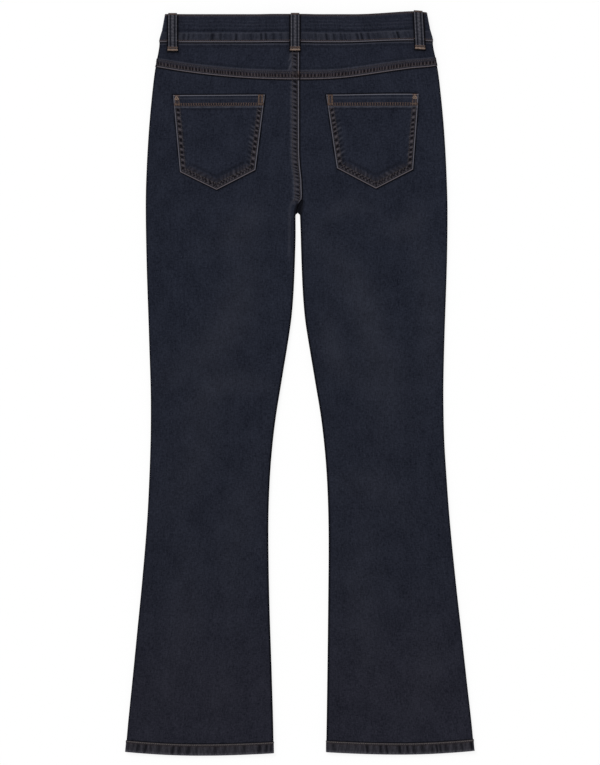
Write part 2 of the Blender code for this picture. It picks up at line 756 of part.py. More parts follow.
def add_hems():
    levels = np.linspace(HEM_TOP + SEAM_GAP / 2, LENGTH, 3)
    for name, hand in (("hem_left", -1.0), ("hem_right", 1.0)):
        outer = [hem_section(hand, level, 0.0) for level in levels]
        inner = [hem_section(hand, level, HEM_CLOTH) for level in levels]
        add_wall(name, outer, inner, WORN_INDIGO, ring=True)


def pocket_point(corners, across, down_part):
    """A place on a back pocket, from its outer edge to its inner edge and from its top to its foot."""
    outer_top, inner_top, inner_foot, tip, outer_foot = corners
    top = between(outer_top, inner_top, across)
    if across < 0.5:
        foot = between(outer_foot, tip, across * 2)
    else:
        foot = between(tip, inner_foot, across * 2 - 1)
    return between(top, foot, down_part)


def add_back_pockets():
    """Patch pockets, whose folded edges and top hem stand a little higher than the middle."""
    in_columns = np.array([POCKET_ACROSS[1] < across < POCKET_ACROSS[-2] for across in POCKET_ACROSS])
    for side, columns in POCKET_CORNERS.items():
        corners = np.stack([columns["x"], columns["down"]], axis=-1)
        outer = []
        inner = []
        for down_part in POCKET_DOWN:
            in_rows = POCKET_DOWN[1] < down_part < POCKET_DOWN[-2]
            raised = np.where(in_columns & in_rows, 0.0, POCKET_RISE)
            x, down = np.array([pocket_point(corners, across, down_part) for across in POCKET_ACROSS]).T
            carried = cloth_top(x, down) + SEAM_GAP
            outer.append(place(x, down, carried + CLOTH + raised))
            inner.append(place(x, down, carried))
        add_wall(f"back_pocket_{side}", outer, inner, INDIGO)


def add_waist_button():
    """A shank button with a shallow dish in its face, which looks down."""
    profile = (
        (0.0, BUTTON_HEIGHT),
        (BUTTON_RADIUS - BUTTON_RIM, BUTTON_HEIGHT),
        (BUTTON_RADIUS, BUTTON_HEIGHT - BUTTON_RIM),
        (BUTTON_RADIUS, BUTTON_RIM),
        (BUTTON_RADIUS - BUTTON_RIM, 0.0),
        (BUTTON_DISH + BUTTON_RIM, 0.0),
        (BUTTON_DISH, BUTTON_RIM),
        (0.0, BUTTON_RIM),
    )
    mesh = bpy.data.meshes.new("waist_button")
    edges = [(first, first + 1) for first in range(len(profile) - 1)]
    mesh.from_pydata([(radius, 0.0, height) for radius, height in profile], edges, [])
    button = add_object("waist_button", mesh, AGED_BRASS)
    button.location = place(BUTTON_X, BAND_HEIGHT / 2 + front_dip(BUTTON_X), 0.0).tolist()
    turned = button.modifiers.new("turned", "SCREW")
    turned.steps = BUTTON_STEPS
    turned.render_steps = BUTTON_STEPS
    turned.use_merge_vertices = True
    turned.merge_threshold = 0.00001


def main():
    for old in list(bpy.data.objects):
        bpy.data.objects.remove(old, do_unlink=True)
    bpy.context.scene.collection.children.link(bpy.data.collections.new("bootcut_jeans"))
    add_backs()
    add_yokes()
    add_fronts()
    add_front_pockets()
    add_fly()
    add_waistband()
    add_hems()
    add_back_loops()
    add_front_loops()
    add_back_pockets()
    add_waist_button()


main()
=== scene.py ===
# %% [markdown]
# # Bootcut jeans, laid flat on their front
#
# These are dark stretch jeans, seen from straight above. The back is on top: two legs, a yoke in two
# halves, a waistband, three belt loops, two patch pockets and two turned-up hems. The fronts, the fly and
# the button lie under them. The solids of the part already have these forms, in coarse steps. This script
# makes each piece of cloth again as a fine thin shell on the same form, and gives it what sewing and wear
# do to denim: puckers along the seams, pale folded edges, rows of thread and a slightly uneven dye.

# %% Load the frame
import math

import bmesh
import bpy
import numpy as np
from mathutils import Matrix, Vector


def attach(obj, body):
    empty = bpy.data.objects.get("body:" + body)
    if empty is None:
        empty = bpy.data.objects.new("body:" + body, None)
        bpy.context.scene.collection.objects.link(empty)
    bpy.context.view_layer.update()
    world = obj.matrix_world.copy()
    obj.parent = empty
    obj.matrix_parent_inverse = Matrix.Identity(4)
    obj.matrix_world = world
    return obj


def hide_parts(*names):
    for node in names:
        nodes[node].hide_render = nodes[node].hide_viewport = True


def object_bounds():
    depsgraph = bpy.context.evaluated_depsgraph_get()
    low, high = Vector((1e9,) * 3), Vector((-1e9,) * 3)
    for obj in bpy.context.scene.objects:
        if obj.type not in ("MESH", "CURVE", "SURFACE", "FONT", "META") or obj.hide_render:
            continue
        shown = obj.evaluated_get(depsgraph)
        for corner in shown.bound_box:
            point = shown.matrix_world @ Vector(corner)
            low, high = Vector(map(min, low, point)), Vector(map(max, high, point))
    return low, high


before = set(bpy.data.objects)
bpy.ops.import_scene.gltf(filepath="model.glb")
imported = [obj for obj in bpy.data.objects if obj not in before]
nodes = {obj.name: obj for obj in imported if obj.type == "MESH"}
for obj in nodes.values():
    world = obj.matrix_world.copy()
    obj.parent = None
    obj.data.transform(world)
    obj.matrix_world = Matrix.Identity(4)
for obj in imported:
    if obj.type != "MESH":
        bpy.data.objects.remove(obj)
cad_box = [list(corner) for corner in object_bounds()]
print(f"{len(nodes)} nodes, {cad_box[1][0] - cad_box[0][0]:.3f} m by {cad_box[1][1] - cad_box[0][1]:.3f} m")

# %% [markdown]
# ## Sizes
#
# A shell can only lie on its solid if both are worked out in the same way, so the first cells repeat the
# part's sizes. Everything is in metres. A place on the garment is given by how far down it is from the
# top edge of the back, and by its x or by its distance along the cloth.

# %% Thickness of the cloth, and lengths down the back
CLOTH = 0.0012
BAND_CLOTH = 0.0024
HEM_CLOTH = 0.0022
SEAM_GAP = 0.0003
LAYER_GAP = 0.0005
LENGTH = 1.1006
BAND_HEIGHT = 0.0417
YOKE_AT_CENTRE = 0.0965
YOKE_AT_SIDE = 0.0780
YOKE_HALF_WIDTH = 0.209
FORK = 0.2990
HEM_HEIGHT = 0.0172
HEM_TOP = LENGTH - HEM_HEIGHT
TOP_Y = cad_box[0][1] + LENGTH
print(f"the top edge of the back lies at y = {TOP_Y:.4f}")

# %% Rounded edges, and heights above the surface
EDGE_RADIUS = 0.0025
BAND_RADIUS = 0.0033
HEM_RADIUS = 0.0030
EDGE_FADE = 0.040
HEM_PROUD = 0.0010
QUARTER = math.pi / 2
BAND_LIFT = 0.0022
BAND_STEP = (BAND_CLOTH - CLOTH) / 2
BAND_EASE = 0.012
YOKE_EASE = 0.030
WAIST_SLOPE = 0.060
HEM_STEP = (HEM_CLOTH - CLOTH) / 2
HEM_EASE = 0.045
CENTRE_X = -0.0053
FRONT_DIP = 0.021
FRONT_DIP_HALF_WIDTH = 0.199

# %% How the waist is pulled up on the wearer's right, and how the hems curve up
RIGHT_LIFT = 0.0050
LIFT_STARTS = 0.045
LIFT_RISE = 0.105
LIFT_SHIFT = 0.040
LIFT_SHIFT_DOWN = 0.080
LIFT_LOST_AT_SIDE = 0.6
LIFT_FALLS = (0.165, 0.205)
LIFT_ENDS = (0.068, 0.150)
FOOT_HELD = 0.40
FOOT_REACH = 0.026
HEM_LIFT_AT_SIDE = 0.0058
HEM_LIFT_AT_INSEAM = 0.0038
RIGHT_HEM_LIFT = 0.0016
HEM_LIFT_REACH = 0.100

# %% Waistband, felled seams, front openings and fly
BAND_REACH = 0.1915
BAND_END_OVER = 0.008
BAND_END_UNDER = -0.034
OVERLAP_EASE = 0.026
OVERLAP_FADE = 0.045
FELL_WIDTH = 0.0125
SEAT_FELL_WIDTH = 0.0110
FELL_RISE = 0.0008
FELL_EDGE = 0.0008
SEAT_FELL_FADES = 0.264
SEAT_FELL_END = 0.278
SCOOP_WIDTH = 0.085
SCOOP_DEPTH = 0.065
FLY_WIDTH = 0.036
FLY_STRAIGHT = 0.105
FLY_CURVE = 0.030

# %% Belt loops and back pockets
LOOP_WIDTH = 0.0130
LOOP_CLOTH = 0.0017
LOOP_TOP = -0.0012
LOOP_FOOT = 0.0548
FRONT_LOOP_X = 0.105
POCKET_RISE = 0.0008
POCKET_BAND = 0.0097
POCKET_HEM = 0.0182


# %% [markdown]
# ## The outline
#
# The outline of a flat garment is a few widths at a few levels. A short table holds them, and a smooth
# curve through its rows gives the width at any level between.

# %% Tables of the outline
def table(names, *rows):
    """A short table as a dictionary: the name of each column and its values."""
    return dict(zip(names.split(), np.array(rows).T))


OUTLINE = table(
    "down half_width lean",
    (0.0000, 0.1945, -0.0058),
    (0.0230, 0.1990, -0.0056),
    (0.0416, 0.2034, -0.0055),
    (0.0418, 0.2029, -0.0055),
    (0.0680, 0.2070, -0.0053),
    (0.0850, 0.2102, -0.0052),
    (0.1120, 0.2137, -0.0051),
    (0.1720, 0.2193, -0.0050),
    (0.2460, 0.2233, -0.0050),
    (0.2900, 0.2242, -0.0048),
    (0.3650, 0.2232, -0.0046),
    (0.4830, 0.2194, -0.0046),
    (0.5720, 0.2174, -0.0041),
    (0.6320, 0.2182, -0.0036),
    (0.6910, 0.2210, -0.0028),
    (0.7510, 0.2248, -0.0021),
    (0.8400, 0.2328, -0.0014),
    (0.9290, 0.2421, -0.0008),
    (1.0480, 0.2542, -0.0002),
    (1.1006, 0.2588, 0.0000),
)
LEG_GAP = table(
    "down half_gap lean",
    (0.2990, 0.0033, -0.0031),
    (0.3350, 0.0039, -0.0025),
    (0.3940, 0.0059, -0.0025),
    (0.4240, 0.0076, -0.0025),
    (0.4540, 0.0104, -0.0025),
    (0.4830, 0.0147, -0.0024),
    (0.5430, 0.0246, -0.0023),
    (0.6020, 0.0341, -0.0022),
    (0.6620, 0.0405, -0.0022),
    (0.7210, 0.0438, -0.0022),
    (0.7800, 0.0447, -0.0020),
    (0.8700, 0.0437, -0.0016),
    (0.9880, 0.0411, -0.0004),
    (1.0770, 0.0393, 0.0001),
    (1.1006, 0.0390, 0.0001),
)
SEAT_SEAM = table(
    "down x",
    (0.0000, -0.0011),
    (0.2000, -0.0011),
    (0.2220, -0.0001),
    (0.2520, 0.0025),
    (0.2740, 0.0024),
    (0.2870, -0.0014),
    (0.2990, -0.0031),
)
FLY_SEAM = table(
    "down x",
    (0.0000, -0.0053),
    (0.2000, -0.0051),
    (0.2990, -0.0031),
)
print(f"{len(OUTLINE['down'])} rows of the outline, {len(LEG_GAP['down'])} of the space between the legs")

# %% Corners of the back pockets, and the belt loops on the back
POCKET_CORNERS = {
    "left": table(
        "x down",
        (-0.1882, 0.1198),
        (-0.0520, 0.1190),
        (-0.0661, 0.2309),
        (-0.1237, 0.2604),
        (-0.1780, 0.2339),
    ),
    "right": table(
        "x down",
        (0.1763, 0.1193),
        (0.0390, 0.1191),
        (0.0551, 0.2282),
        (0.1130, 0.2585),
        (0.1681, 0.2301),
    ),
}
BACK_LOOPS = {
    "belt_loop_back": (-0.0071, -0.0071),
    "belt_loop_back_left": (-0.1887, -0.1887),
    "belt_loop_back_right": (0.1753, 0.1785),
}


# %% [markdown]
# ## Curves and levels
#
# Four small functions do most of the work: an even step from 0 to 1, a blend of two values, a band with
# soft edges and a smooth curve through a table. All of them take whole arrays, so a panel of thousands of
# points is made at once.

# %% Steps, blends and curves
def smoothstep(value, start, end):
    """0 before start, 1 after end, and an even curve between them."""
    part = np.clip((value - start) / (end - start), 0.0, 1.0)
    return part * part * (3.0 - 2.0 * part)


def between(first, second, part):
    return first + (second - first) * part


def band(value, start, end, soft):
    """1 between start and end and 0 outside, with edges as soft as asked."""
    return smoothstep(value, start - soft, start + soft) * (1.0 - smoothstep(value, end - soft, end + soft))


def curve(columns, name):
    """A function that gives the named column at any level, on a smooth curve through the table's rows."""
    levels = columns["down"]
    values = columns[name]
    spans = np.diff(levels)
    grades = np.diff(values) / spans
    slopes = np.concatenate([grades[:1], (grades[:-1] + grades[1:]) / 2, grades[-1:]])
    slopes[1:-1][grades[:-1] * grades[1:] <= 0] = 0.0

    def at(down):
        down = np.clip(down, levels[0], levels[-1])
        index = np.clip(np.searchsorted(levels, down) - 1, 0, len(spans) - 1)
        span = spans[index]
        part = (down - levels[index]) / span
        rest = 1.0 - part
        from_upper = rest * rest * ((1.0 + 2.0 * part) * values[index] + part * span * slopes[index])
        from_lower = part * part * ((3.0 - 2.0 * part) * values[index + 1] - rest * span * slopes[index + 1])
        return from_upper + from_lower

    return at


half_width = curve(OUTLINE, "half_width")
outline_lean = curve(OUTLINE, "lean")
half_gap = curve(LEG_GAP, "half_gap")
gap_lean = curve(LEG_GAP, "lean")
seat_seam = curve(SEAT_SEAM, "x")
fly_seam = curve(FLY_SEAM, "x")
print(f"a leg is {half_width(0.572) - half_gap(0.572):.3f} m wide at the knee")


# %% Side edges and the two layers
HANDS = {"left": -1.0, "right": 1.0}


def side_x(hand, down):
    """x of the side edge. hand is -1 on the wearer's left and 1 on the right."""
    return outline_lean(down) + hand * half_width(down)


class Layer:
    """The backs, which face up, or the fronts, which face down.

    Both end at a centre seam above the fork and at the inseam below it. The two halves part between
    parts_at and parted_by, and their inner edge turns over between turns_from and turns_to.
    """

    def __init__(self, faces, seam, parts_at, parted_by, turns_from, turns_to):
        self.faces = faces
        self.seam = seam
        self.parts_at = parts_at
        self.parted_by = parted_by
        self.turns_from = turns_from
        self.turns_to = turns_to

    def turn(self, down):
        """Angle that the inner edge has turned through: none at a flat seam, a quarter at an inseam."""
        return QUARTER * smoothstep(down, self.turns_from, self.turns_to)

    def inner_x(self, hand, down):
        """x of the inner edge of one half."""
        part = np.clip((down - self.parts_at) / (self.parted_by - self.parts_at), 0.0, 1.0)
        above_fork = between(SEAM_GAP / 2, LEG_GAP["half_gap"][0], np.sqrt(part * (2.0 - part)))
        middle = np.where(down < FORK, self.seam(down), gap_lean(down))
        return middle + hand * np.where(down < FORK, above_fork, half_gap(down))

    def width(self, hand, down):
        """Width of one half, measured on its outer face from rim to rim."""
        turn = self.turn(down)
        turned_over = QUARTER - 1.0 + turn - np.sin(turn)
        return np.abs(side_x(hand, down) - self.inner_x(hand, down)) + EDGE_RADIUS * turned_over


BACK = Layer(1.0, seat_seam, 0.2750, 0.2910, 0.262, 0.300)
FRONT = Layer(-1.0, fly_seam, 0.2952, 0.2990, 0.283, 0.303)


# %% [markdown]
# ## Soft folds
#
# Jeans that are smoothed out by hand still keep a few low, soft swells: they fan out from the fork, where
# the two legs pull on each other, and lie across the thighs and the knees. A simulation would give them
# in places that nobody chose, so they are placed one by one. Each row of the table is one swell: its middle,
# which way it runs, how long and how wide it is and how high it stands. They only rise, because the cloth
# under them is in the way below. Each also bends a little, so that no two look alike.

# %% Table of the soft folds
FOLDS = table(
    "x down angle length width rise bend",
    (-0.1030, 0.4560, 62, 0.110, 0.030, 0.0016, 0.6),
    (-0.1130, 0.5490, 18, 0.070, 0.022, 0.0013, -0.8),
    (-0.0820, 0.3120, 48, 0.060, 0.020, 0.0011, 0.5),
    (-0.1520, 0.6550, 70, 0.090, 0.026, 0.0010, 0.3),
    (-0.0950, 0.7700, 80, 0.120, 0.030, 0.0008, -0.3),
    (-0.1700, 0.9000, 84, 0.110, 0.028, 0.0009, 0.2),
    (-0.1200, 1.0100, 88, 0.060, 0.024, 0.0006, 0.4),
    (0.0700, 0.2830, 12, 0.045, 0.014, 0.0012, -0.9),
    (0.1580, 0.3150, 30, 0.040, 0.018, 0.0011, 0.7),
    (0.0860, 0.4050, 118, 0.090, 0.026, 0.0015, 0.5),
    (0.0500, 0.5000, 112, 0.060, 0.020, 0.0013, -0.4),
    (0.1250, 0.5300, 100, 0.090, 0.030, 0.0012, 0.3),
    (0.1950, 0.4300, 94, 0.110, 0.020, 0.0012, 0.2),
    (0.1100, 0.7000, 160, 0.060, 0.024, 0.0009, 0.6),
    (0.0900, 0.8800, 95, 0.120, 0.030, 0.0009, -0.3),
    (0.1900, 0.9700, 85, 0.080, 0.026, 0.0008, 0.3),
)


# %% How high the folds stand
FOLDS_START = (0.255, 0.300)
FOLDS_END = (1.030, 1.070)
HIGHEST_FOLD = FOLDS["rise"].max()
PALEST_FOLD = 1.2


def swells(columns, x, down):
    """How much of each swell in a table there is at a place: 1 on its crest and 0 away from it."""
    angle = np.radians(columns["angle"])
    across_x = x[..., None] - columns["x"]
    across_y = columns["down"] - down[..., None]
    along = across_x * np.cos(angle) + across_y * np.sin(angle)
    beside = -across_x * np.sin(angle) + across_y * np.cos(angle)
    beside = beside - columns["bend"] * along * along / columns["length"] / 2
    return np.exp(-((along / columns["length"]) ** 2) - (beside / columns["width"]) ** 2)


def fold_rise(x, down):
    x, down = np.broadcast_arrays(x, down)
    clear_of_edges = smoothstep(down, *FOLDS_START) * (1.0 - smoothstep(down, *FOLDS_END))
    return (swells(FOLDS, x, down) * FOLDS["rise"]).sum(axis=-1) * clear_of_edges


def fold_light_and_wear(x, down):
    """Paler cloth on the folds' crests: wear where the cloth stands proud, and a painted highlight."""
    x, down = np.broadcast_arrays(x, down)
    return np.clip((swells(FOLDS, x, down) * FOLDS["rise"] / HIGHEST_FOLD).sum(axis=-1), 0.0, PALEST_FOLD)


print(f"{len(FOLDS['x'])} folds, the highest {HIGHEST_FOLD * 1000:.1f} mm")


# %% [markdown]
# ## Heights
#
# The jeans are a stack of layers. The fronts lie on the surface, except at the waist, where the front
# belt loops and the button hold them a little off it. The backs lie on the fronts, half a millimetre
# clear, and stand up along their edges, where the cloth turns over from one layer to the other.

# %% Heights of the fronts and the backs
def front_dip(x):
    """How much lower the front of the waistband lies than its back."""
    part = np.clip((x - CENTRE_X) / FRONT_DIP_HALF_WIDTH, -1.0, 1.0)
    return FRONT_DIP * (1.0 - part * part) ** 2


def below_front_band(x, down):
    """Distance below the lower edge of the front of the waistband."""
    return down - BAND_HEIGHT - front_dip(x)


def overlap(x):
    """1 where the two ends of the waistband lie on each other, and 0 well away from there."""
    across = x - CENTRE_X
    left = smoothstep(across, BAND_END_UNDER - OVERLAP_EASE, BAND_END_UNDER)
    return left * (1.0 - smoothstep(across, BAND_END_OVER, BAND_END_OVER + OVERLAP_EASE))


def at_hem(down):
    return smoothstep(down, HEM_TOP - HEM_EASE, HEM_TOP)


def front_floor(x, down):
    """Height of the outer face of the fronts, which is 0 where they lie on the surface."""
    loop_end = LOOP_FOOT - BAND_HEIGHT
    at_waist = 1.0 - smoothstep(below_front_band(x, down), loop_end, loop_end + WAIST_SLOPE)
    return (BAND_LIFT + BAND_STEP) * at_waist + HEM_STEP * at_hem(down)


def fronts_top(x, down):
    """Height of the upper side of everything that lies under the back."""
    below = below_front_band(x, down)
    band_edge = BAND_STEP * (1.0 - smoothstep(below, 0.0, BAND_EASE))
    second_end = (BAND_CLOTH + SEAM_GAP) * overlap(x) * (1.0 - smoothstep(below, 0.0, OVERLAP_FADE))
    return front_floor(x, down) + CLOTH + band_edge + second_end


def back_middle(x, down):
    """Height of the outer face of the back, away from its edges."""
    under_band = BAND_STEP * (1.0 - smoothstep(down, BAND_HEIGHT, BAND_HEIGHT + YOKE_EASE))
    return fronts_top(x, down) + LAYER_GAP + CLOTH + under_band + 2 * HEM_STEP * at_hem(down)


def back_height(hand, x, down):
    """Height of the outer face of the back, which stands up a little along its rounded edges."""
    side = side_x(hand, down)
    inner = BACK.inner_x(hand, down)
    turn = BACK.turn(down)
    side_rise = front_floor(side, down) + 2 * EDGE_RADIUS + SEAM_GAP - back_middle(side, down)
    inner_rise = (2 * (EDGE_RADIUS - CLOTH) + SEAM_GAP - LAYER_GAP) * (1.0 - np.cos(turn))
    by_side = 1.0 - smoothstep(np.abs(x - side) - EDGE_RADIUS, 0.0, EDGE_FADE)
    by_inner = 1.0 - smoothstep(np.abs(x - inner) - EDGE_RADIUS * np.sin(turn), 0.0, EDGE_FADE)
    folds = fold_rise(x, down) * (1.0 - by_side) * (1.0 - by_inner)
    return back_middle(x, down) + side_rise * by_side + inner_rise * by_inner + folds


def cloth_top(x, down):
    """Height of the outer face of the yokes and the backs, on either half."""
    return back_height(np.where(x < seat_seam(down), -1.0, 1.0), x, down)


def band_top(x, down):
    """Height of the outer face of the back of the waistband."""
    middle = fronts_top(x, down) + LAYER_GAP + BAND_CLOTH
    rise = BAND_LIFT + 2 * BAND_RADIUS - middle
    from_side = half_width(down) - BAND_RADIUS - np.abs(x - outline_lean(down))
    return middle + rise * (1.0 - smoothstep(from_side, 0.0, EDGE_FADE))


# %% Placing a point in the world
def right_lift(x, down):
    """How much the waist is pulled up on the wearer's right."""
    across = x - CENTRE_X
    starts = LIFT_STARTS + LIFT_SHIFT * (1.0 - smoothstep(down, 0.0, LIFT_SHIFT_DOWN))
    rises = smoothstep(across, starts, starts + LIFT_RISE)
    falls = 1.0 - LIFT_LOST_AT_SIDE * smoothstep(across, *LIFT_FALLS)
    held = 1.0 - FOOT_HELD * np.exp(-(((down - BAND_HEIGHT) / FOOT_REACH) ** 2))
    return RIGHT_LIFT * rises * falls * held * (1.0 - smoothstep(down, *LIFT_ENDS))


def hem_lift(x, down):
    """How much the hem curves up towards its side seam and its inseam."""
    hand = np.where(x < gap_lean(down), -1.0, 1.0)
    side = side_x(hand, down)
    inner = gap_lean(down) + hand * half_gap(down)
    part = np.clip((x - side) / (inner - side), 0.0, 1.0)
    most = np.where(part < 0.5, HEM_LIFT_AT_SIDE, HEM_LIFT_AT_INSEAM)
    shape = most * (1.0 - 2.0 * part) ** 2 + np.where(hand > 0.0, RIGHT_HEM_LIFT, 0.0)
    return shape * smoothstep(down, HEM_TOP - HEM_LIFT_REACH, HEM_TOP)


def place(x, down, z):
    """World coordinates of the point at x, this far down the garment and z above the surface."""
    x, down, z = np.broadcast_arrays(x, down, z)
    return np.stack([x, TOP_Y - down + right_lift(x, down) + hem_lift(x, down), z], axis=-1)


def cloth_point(layer, hand, along, down, depth):
    """x and z of a point of a layer.

    along is measured on the outer face from the rim at the side, and depth goes in from that face.
    """
    side = side_x(hand, down)
    inner = layer.inner_x(hand, down)
    turn = layer.turn(down)
    to_inner = layer.width(hand, down) - along
    side_angle = np.clip(QUARTER - along / EDGE_RADIUS, 0.0, QUARTER)
    inner_angle = np.clip(turn - to_inner / EDGE_RADIUS, 0.0, QUARTER)
    past_turn = np.maximum(along - EDGE_RADIUS * QUARTER, 0.0)
    from_side = past_turn + EDGE_RADIUS * (1.0 - np.sin(side_angle))
    from_inner = EDGE_RADIUS * (np.sin(turn) - np.sin(inner_angle))
    x = np.where(inner_angle > 0.0, inner + hand * from_inner, side - hand * from_side)
    flat_end = np.abs(side - inner) - EDGE_RADIUS * np.sin(turn)
    flat_x = side - hand * np.clip(np.abs(side - x), EDGE_RADIUS, flat_end)
    height = back_height(hand, flat_x, down) if layer is BACK else front_floor(flat_x, down)
    angle = np.maximum(side_angle, inner_angle)
    z = height - layer.faces * (EDGE_RADIUS * (1.0 - np.cos(angle)) + depth * np.cos(angle))
    return x + hand * depth * (np.sin(inner_angle) - np.sin(side_angle)), z


# %% [markdown]
# ## What a topstitched seam looks like
#
# When denim is sewn and washed, the thread shrinks less evenly than the cloth, and the seam puckers: a
# row of small hollows a few millimetres apart, with ridges between them. Rubbing then fades the ridges
# and the folded edge, while the hollows keep their dark dye, and painted shade darkens them further. So
# one rhythm drives three things at every seam here: how deep the cloth lies, how worn it is and how much
# painted shade it takes.

# %% Rhythm of the puckers
def rhythm(length, pitch, seed, uneven=0.28, shallowest=0.55):
    """Uneven hollows along a seam, as a function that is 1 in a deep hollow and 0 on a ridge."""
    random = np.random.default_rng(seed)
    count = int(length / pitch / (1.0 - uneven)) + 4
    places = np.cumsum(pitch * random.uniform(1.0 - uneven, 1.0 + uneven, count)) - 2 * pitch
    depths = random.uniform(shallowest, 1.0, count)

    def at(run):
        index = np.clip(np.searchsorted(places, run), 1, count - 1)
        part = np.clip((run - places[index - 1]) / (places[index] - places[index - 1]), 0.0, 1.0)
        return np.where(part < 0.5, depths[index - 1], depths[index]) * np.cos(math.pi * part) ** 2

    return at


PUCKER_PITCH = 0.0046
PUCKER_SLANT = 0.20
PIT_DEPTH = 0.00045
FOLD_EDGE = (0.0002, 0.0013)
EDGE_SOFT = 0.0004
STRIPE_SOFT = 0.0005
PIT_SOFT = 0.0007


# %% Marks: the wear and the darkness of a piece, gathered seam by seam
MARKS = ("worn", "dark", "warm", "beside")


def stripe_table(*rows):
    """Stripes along a seam, between two distances from its edge."""
    return table("start end worn dark warm soft", *rows)


# The second and the last stripe are painted shade: one just inside the folded edge and one past the stitched
# strip.
FELL_STRIPES = stripe_table(
    (*FOLD_EDGE, 0.92, 0.00, 0.60, EDGE_SOFT),
    (0.0020, 0.0032, 0.00, 0.20, 0.00, STRIPE_SOFT),
    (0.0018, FELL_WIDTH, 0.07, 0.00, 0.85, STRIPE_SOFT),
    (FELL_WIDTH - 0.0006, FELL_WIDTH + 0.0010, 0.14, 0.00, 0.00, STRIPE_SOFT),
    (FELL_WIDTH + 0.0026, FELL_WIDTH + 0.0050, 0.00, 0.26, 0.00, 0.0012),
)
FELL_PITS = {"start": 0.0027, "end": 0.0078, "worn": 0.34, "dark": 1.50}


class Marks:
    """Rise, wear, painted shade and brownness on a grid of points, to which each seam adds its own."""

    def __init__(self, x):
        self.rise = np.zeros_like(x)
        self.worn = np.zeros_like(x)
        self.dark = np.zeros_like(x)
        self.warm = np.zeros_like(x)
        self.beside = np.ones_like(x)
        self.inside = self

    def part(self):
        """Both faces keep the marks made so far, and each takes its own from here on."""
        self.inside = Marks(self.rise)
        for mark in MARKS:
            setattr(self.inside, mark, getattr(self, mark))

    def seam(self, rise=0.0, worn=0.0, dark=0.0, warm=0.0):
        self.rise = self.rise + rise
        self.worn = np.maximum(self.worn, worn)
        self.dark = np.maximum(self.dark, dark)
        self.warm = np.maximum(self.warm, warm)

    def shaded_by(self, distance):
        """Marks how far it is to the edge of a piece that lies on this one, which sets a painted shadow
        along that edge.
        """
        self.beside = np.minimum(self.beside, distance)

    def stripe(self, distance, start, end, worn=0.0, dark=0.0, warm=0.0, soft=STRIPE_SOFT, where=1.0):
        """A stripe along a seam, between two distances from its edge."""
        there = band(distance, start, end, soft) * where
        self.seam(0.0, worn * there, dark * there, warm * there)

    def stripes(self, distance, columns, where=1.0):
        """Each stripe of a table."""
        for row in zip(*columns.values()):
            self.stripe(distance, *row, where)

    def pits(self, distance, hollows, start, end, worn, dark, warm=0.0, soft=PIT_SOFT, where=1.0):
        """A row of hollows along a seam, darkened with painted shade, with paler ridges between them."""
        there = band(distance, start, end, soft) * where
        ridges = worn * (1.0 - hollows) ** 2
        shade_amount = np.minimum(dark * hollows, 1.0)
        self.seam(-PIT_DEPTH * hollows * there, ridges * there, shade_amount * there, warm * there)

    def fell(self, distance, run, hollows):
        """A felled seam: its folded edge, its hollows, its stitched strip and the shade past that."""
        self.stripes(distance, FELL_STRIPES)
        self.pits(distance, hollows(run + PUCKER_SLANT * distance), **FELL_PITS)


# %% [markdown]
# ## Walls of cloth
#
# Each piece is a closed wall between an outer and an inner grid of points, as the solids are. Five values
# go with each point for the denim to read: its place in the weave, how worn it is, how much painted shade
# it takes, how brown it is, and how far it is from the edge of a piece that lies on it, which sets a
# painted shadow there.

# %% One wall from two grids
def wall_faces(rows, columns, ring):
    """Faces of a closed wall whose outer grid of points is followed by its inner one."""
    inside = rows * columns
    spans = columns if ring else columns - 1
    row, column = np.meshgrid(np.arange(rows - 1), np.arange(spans), indexing="ij")
    first = (columns * row + column).ravel()
    second = (columns * row + (column + 1) % columns).ravel()
    outer = np.stack([first, second, second + columns, first + columns], axis=1)
    faces = [outer, inside + outer[:, ::-1]]
    for row in (0, rows - 1):
        first = columns * row + np.arange(spans)
        second = columns * row + (np.arange(spans) + 1) % columns
        faces.append(np.stack([second, first, inside + first, inside + second], axis=1))
    for column in () if ring else (0, columns - 1):
        first = columns * np.arange(rows - 1) + column
        second = first + columns
        faces.append(np.stack([first, second, inside + second, inside + first], axis=1))
    return np.concatenate(faces)


SHARP_ANGLE = math.radians(50)


def add_to_scene(name, data):
    made = bpy.data.objects.new(name, data)
    bpy.context.scene.collection.objects.link(made)
    return made


def add_wall(name, outer, inner, weave, marks, ring=False):
    """A closed wall of cloth. weave holds each point's place across and down the cloth, in metres."""
    size = outer.shape[:2]
    mesh = bpy.data.meshes.new(name)
    points = np.concatenate([outer.reshape(-1, 3), inner.reshape(-1, 3)])
    mesh.from_pydata(points, [], wall_faces(*size, ring))
    work = bmesh.new()
    work.from_mesh(mesh)
    bmesh.ops.recalc_face_normals(work, faces=work.faces)
    work.to_mesh(mesh)
    work.free()
    across, down = (np.broadcast_to(part, size).ravel() for part in weave)
    flat = np.stack([across, down, np.zeros_like(across)], axis=1)
    place_in_weave = mesh.attributes.new("weave", "FLOAT_VECTOR", "POINT")
    place_in_weave.data.foreach_set("vector", np.concatenate([flat, flat]).astype(np.float32).ravel())
    for mark in MARKS:
        faces = [np.broadcast_to(getattr(face, mark), size).ravel() for face in (marks, marks.inside)]
        both = np.concatenate(faces).astype(np.float32)
        mesh.attributes.new(mark, "FLOAT", "POINT").data.foreach_set("value", both)
    mesh.shade_smooth()
    mesh.set_sharp_from_angle(angle=SHARP_ANGLE)
    print(f"{name}: {size[0]} by {size[1]} points")
    return add_to_scene(name, mesh)


# %% Panels of a layer
def columns_of(near, middle, far):
    """Where the columns of a grid lie: at set distances from each edge, and evenly spread between."""
    near = np.array(near)
    far = np.array(far)[::-1]
    parts = np.linspace(0.0, 1.0, middle + 2)[1:-1]
    weights = np.concatenate([np.zeros(len(near)), parts, np.ones(len(far))])
    offsets = np.concatenate([near, (1.0 - parts) * near[-1] - parts * far[0], -far])
    return weights, offsets


def straight(level):
    """A line straight across the cloth at one level."""
    return lambda x: np.full_like(x, level)


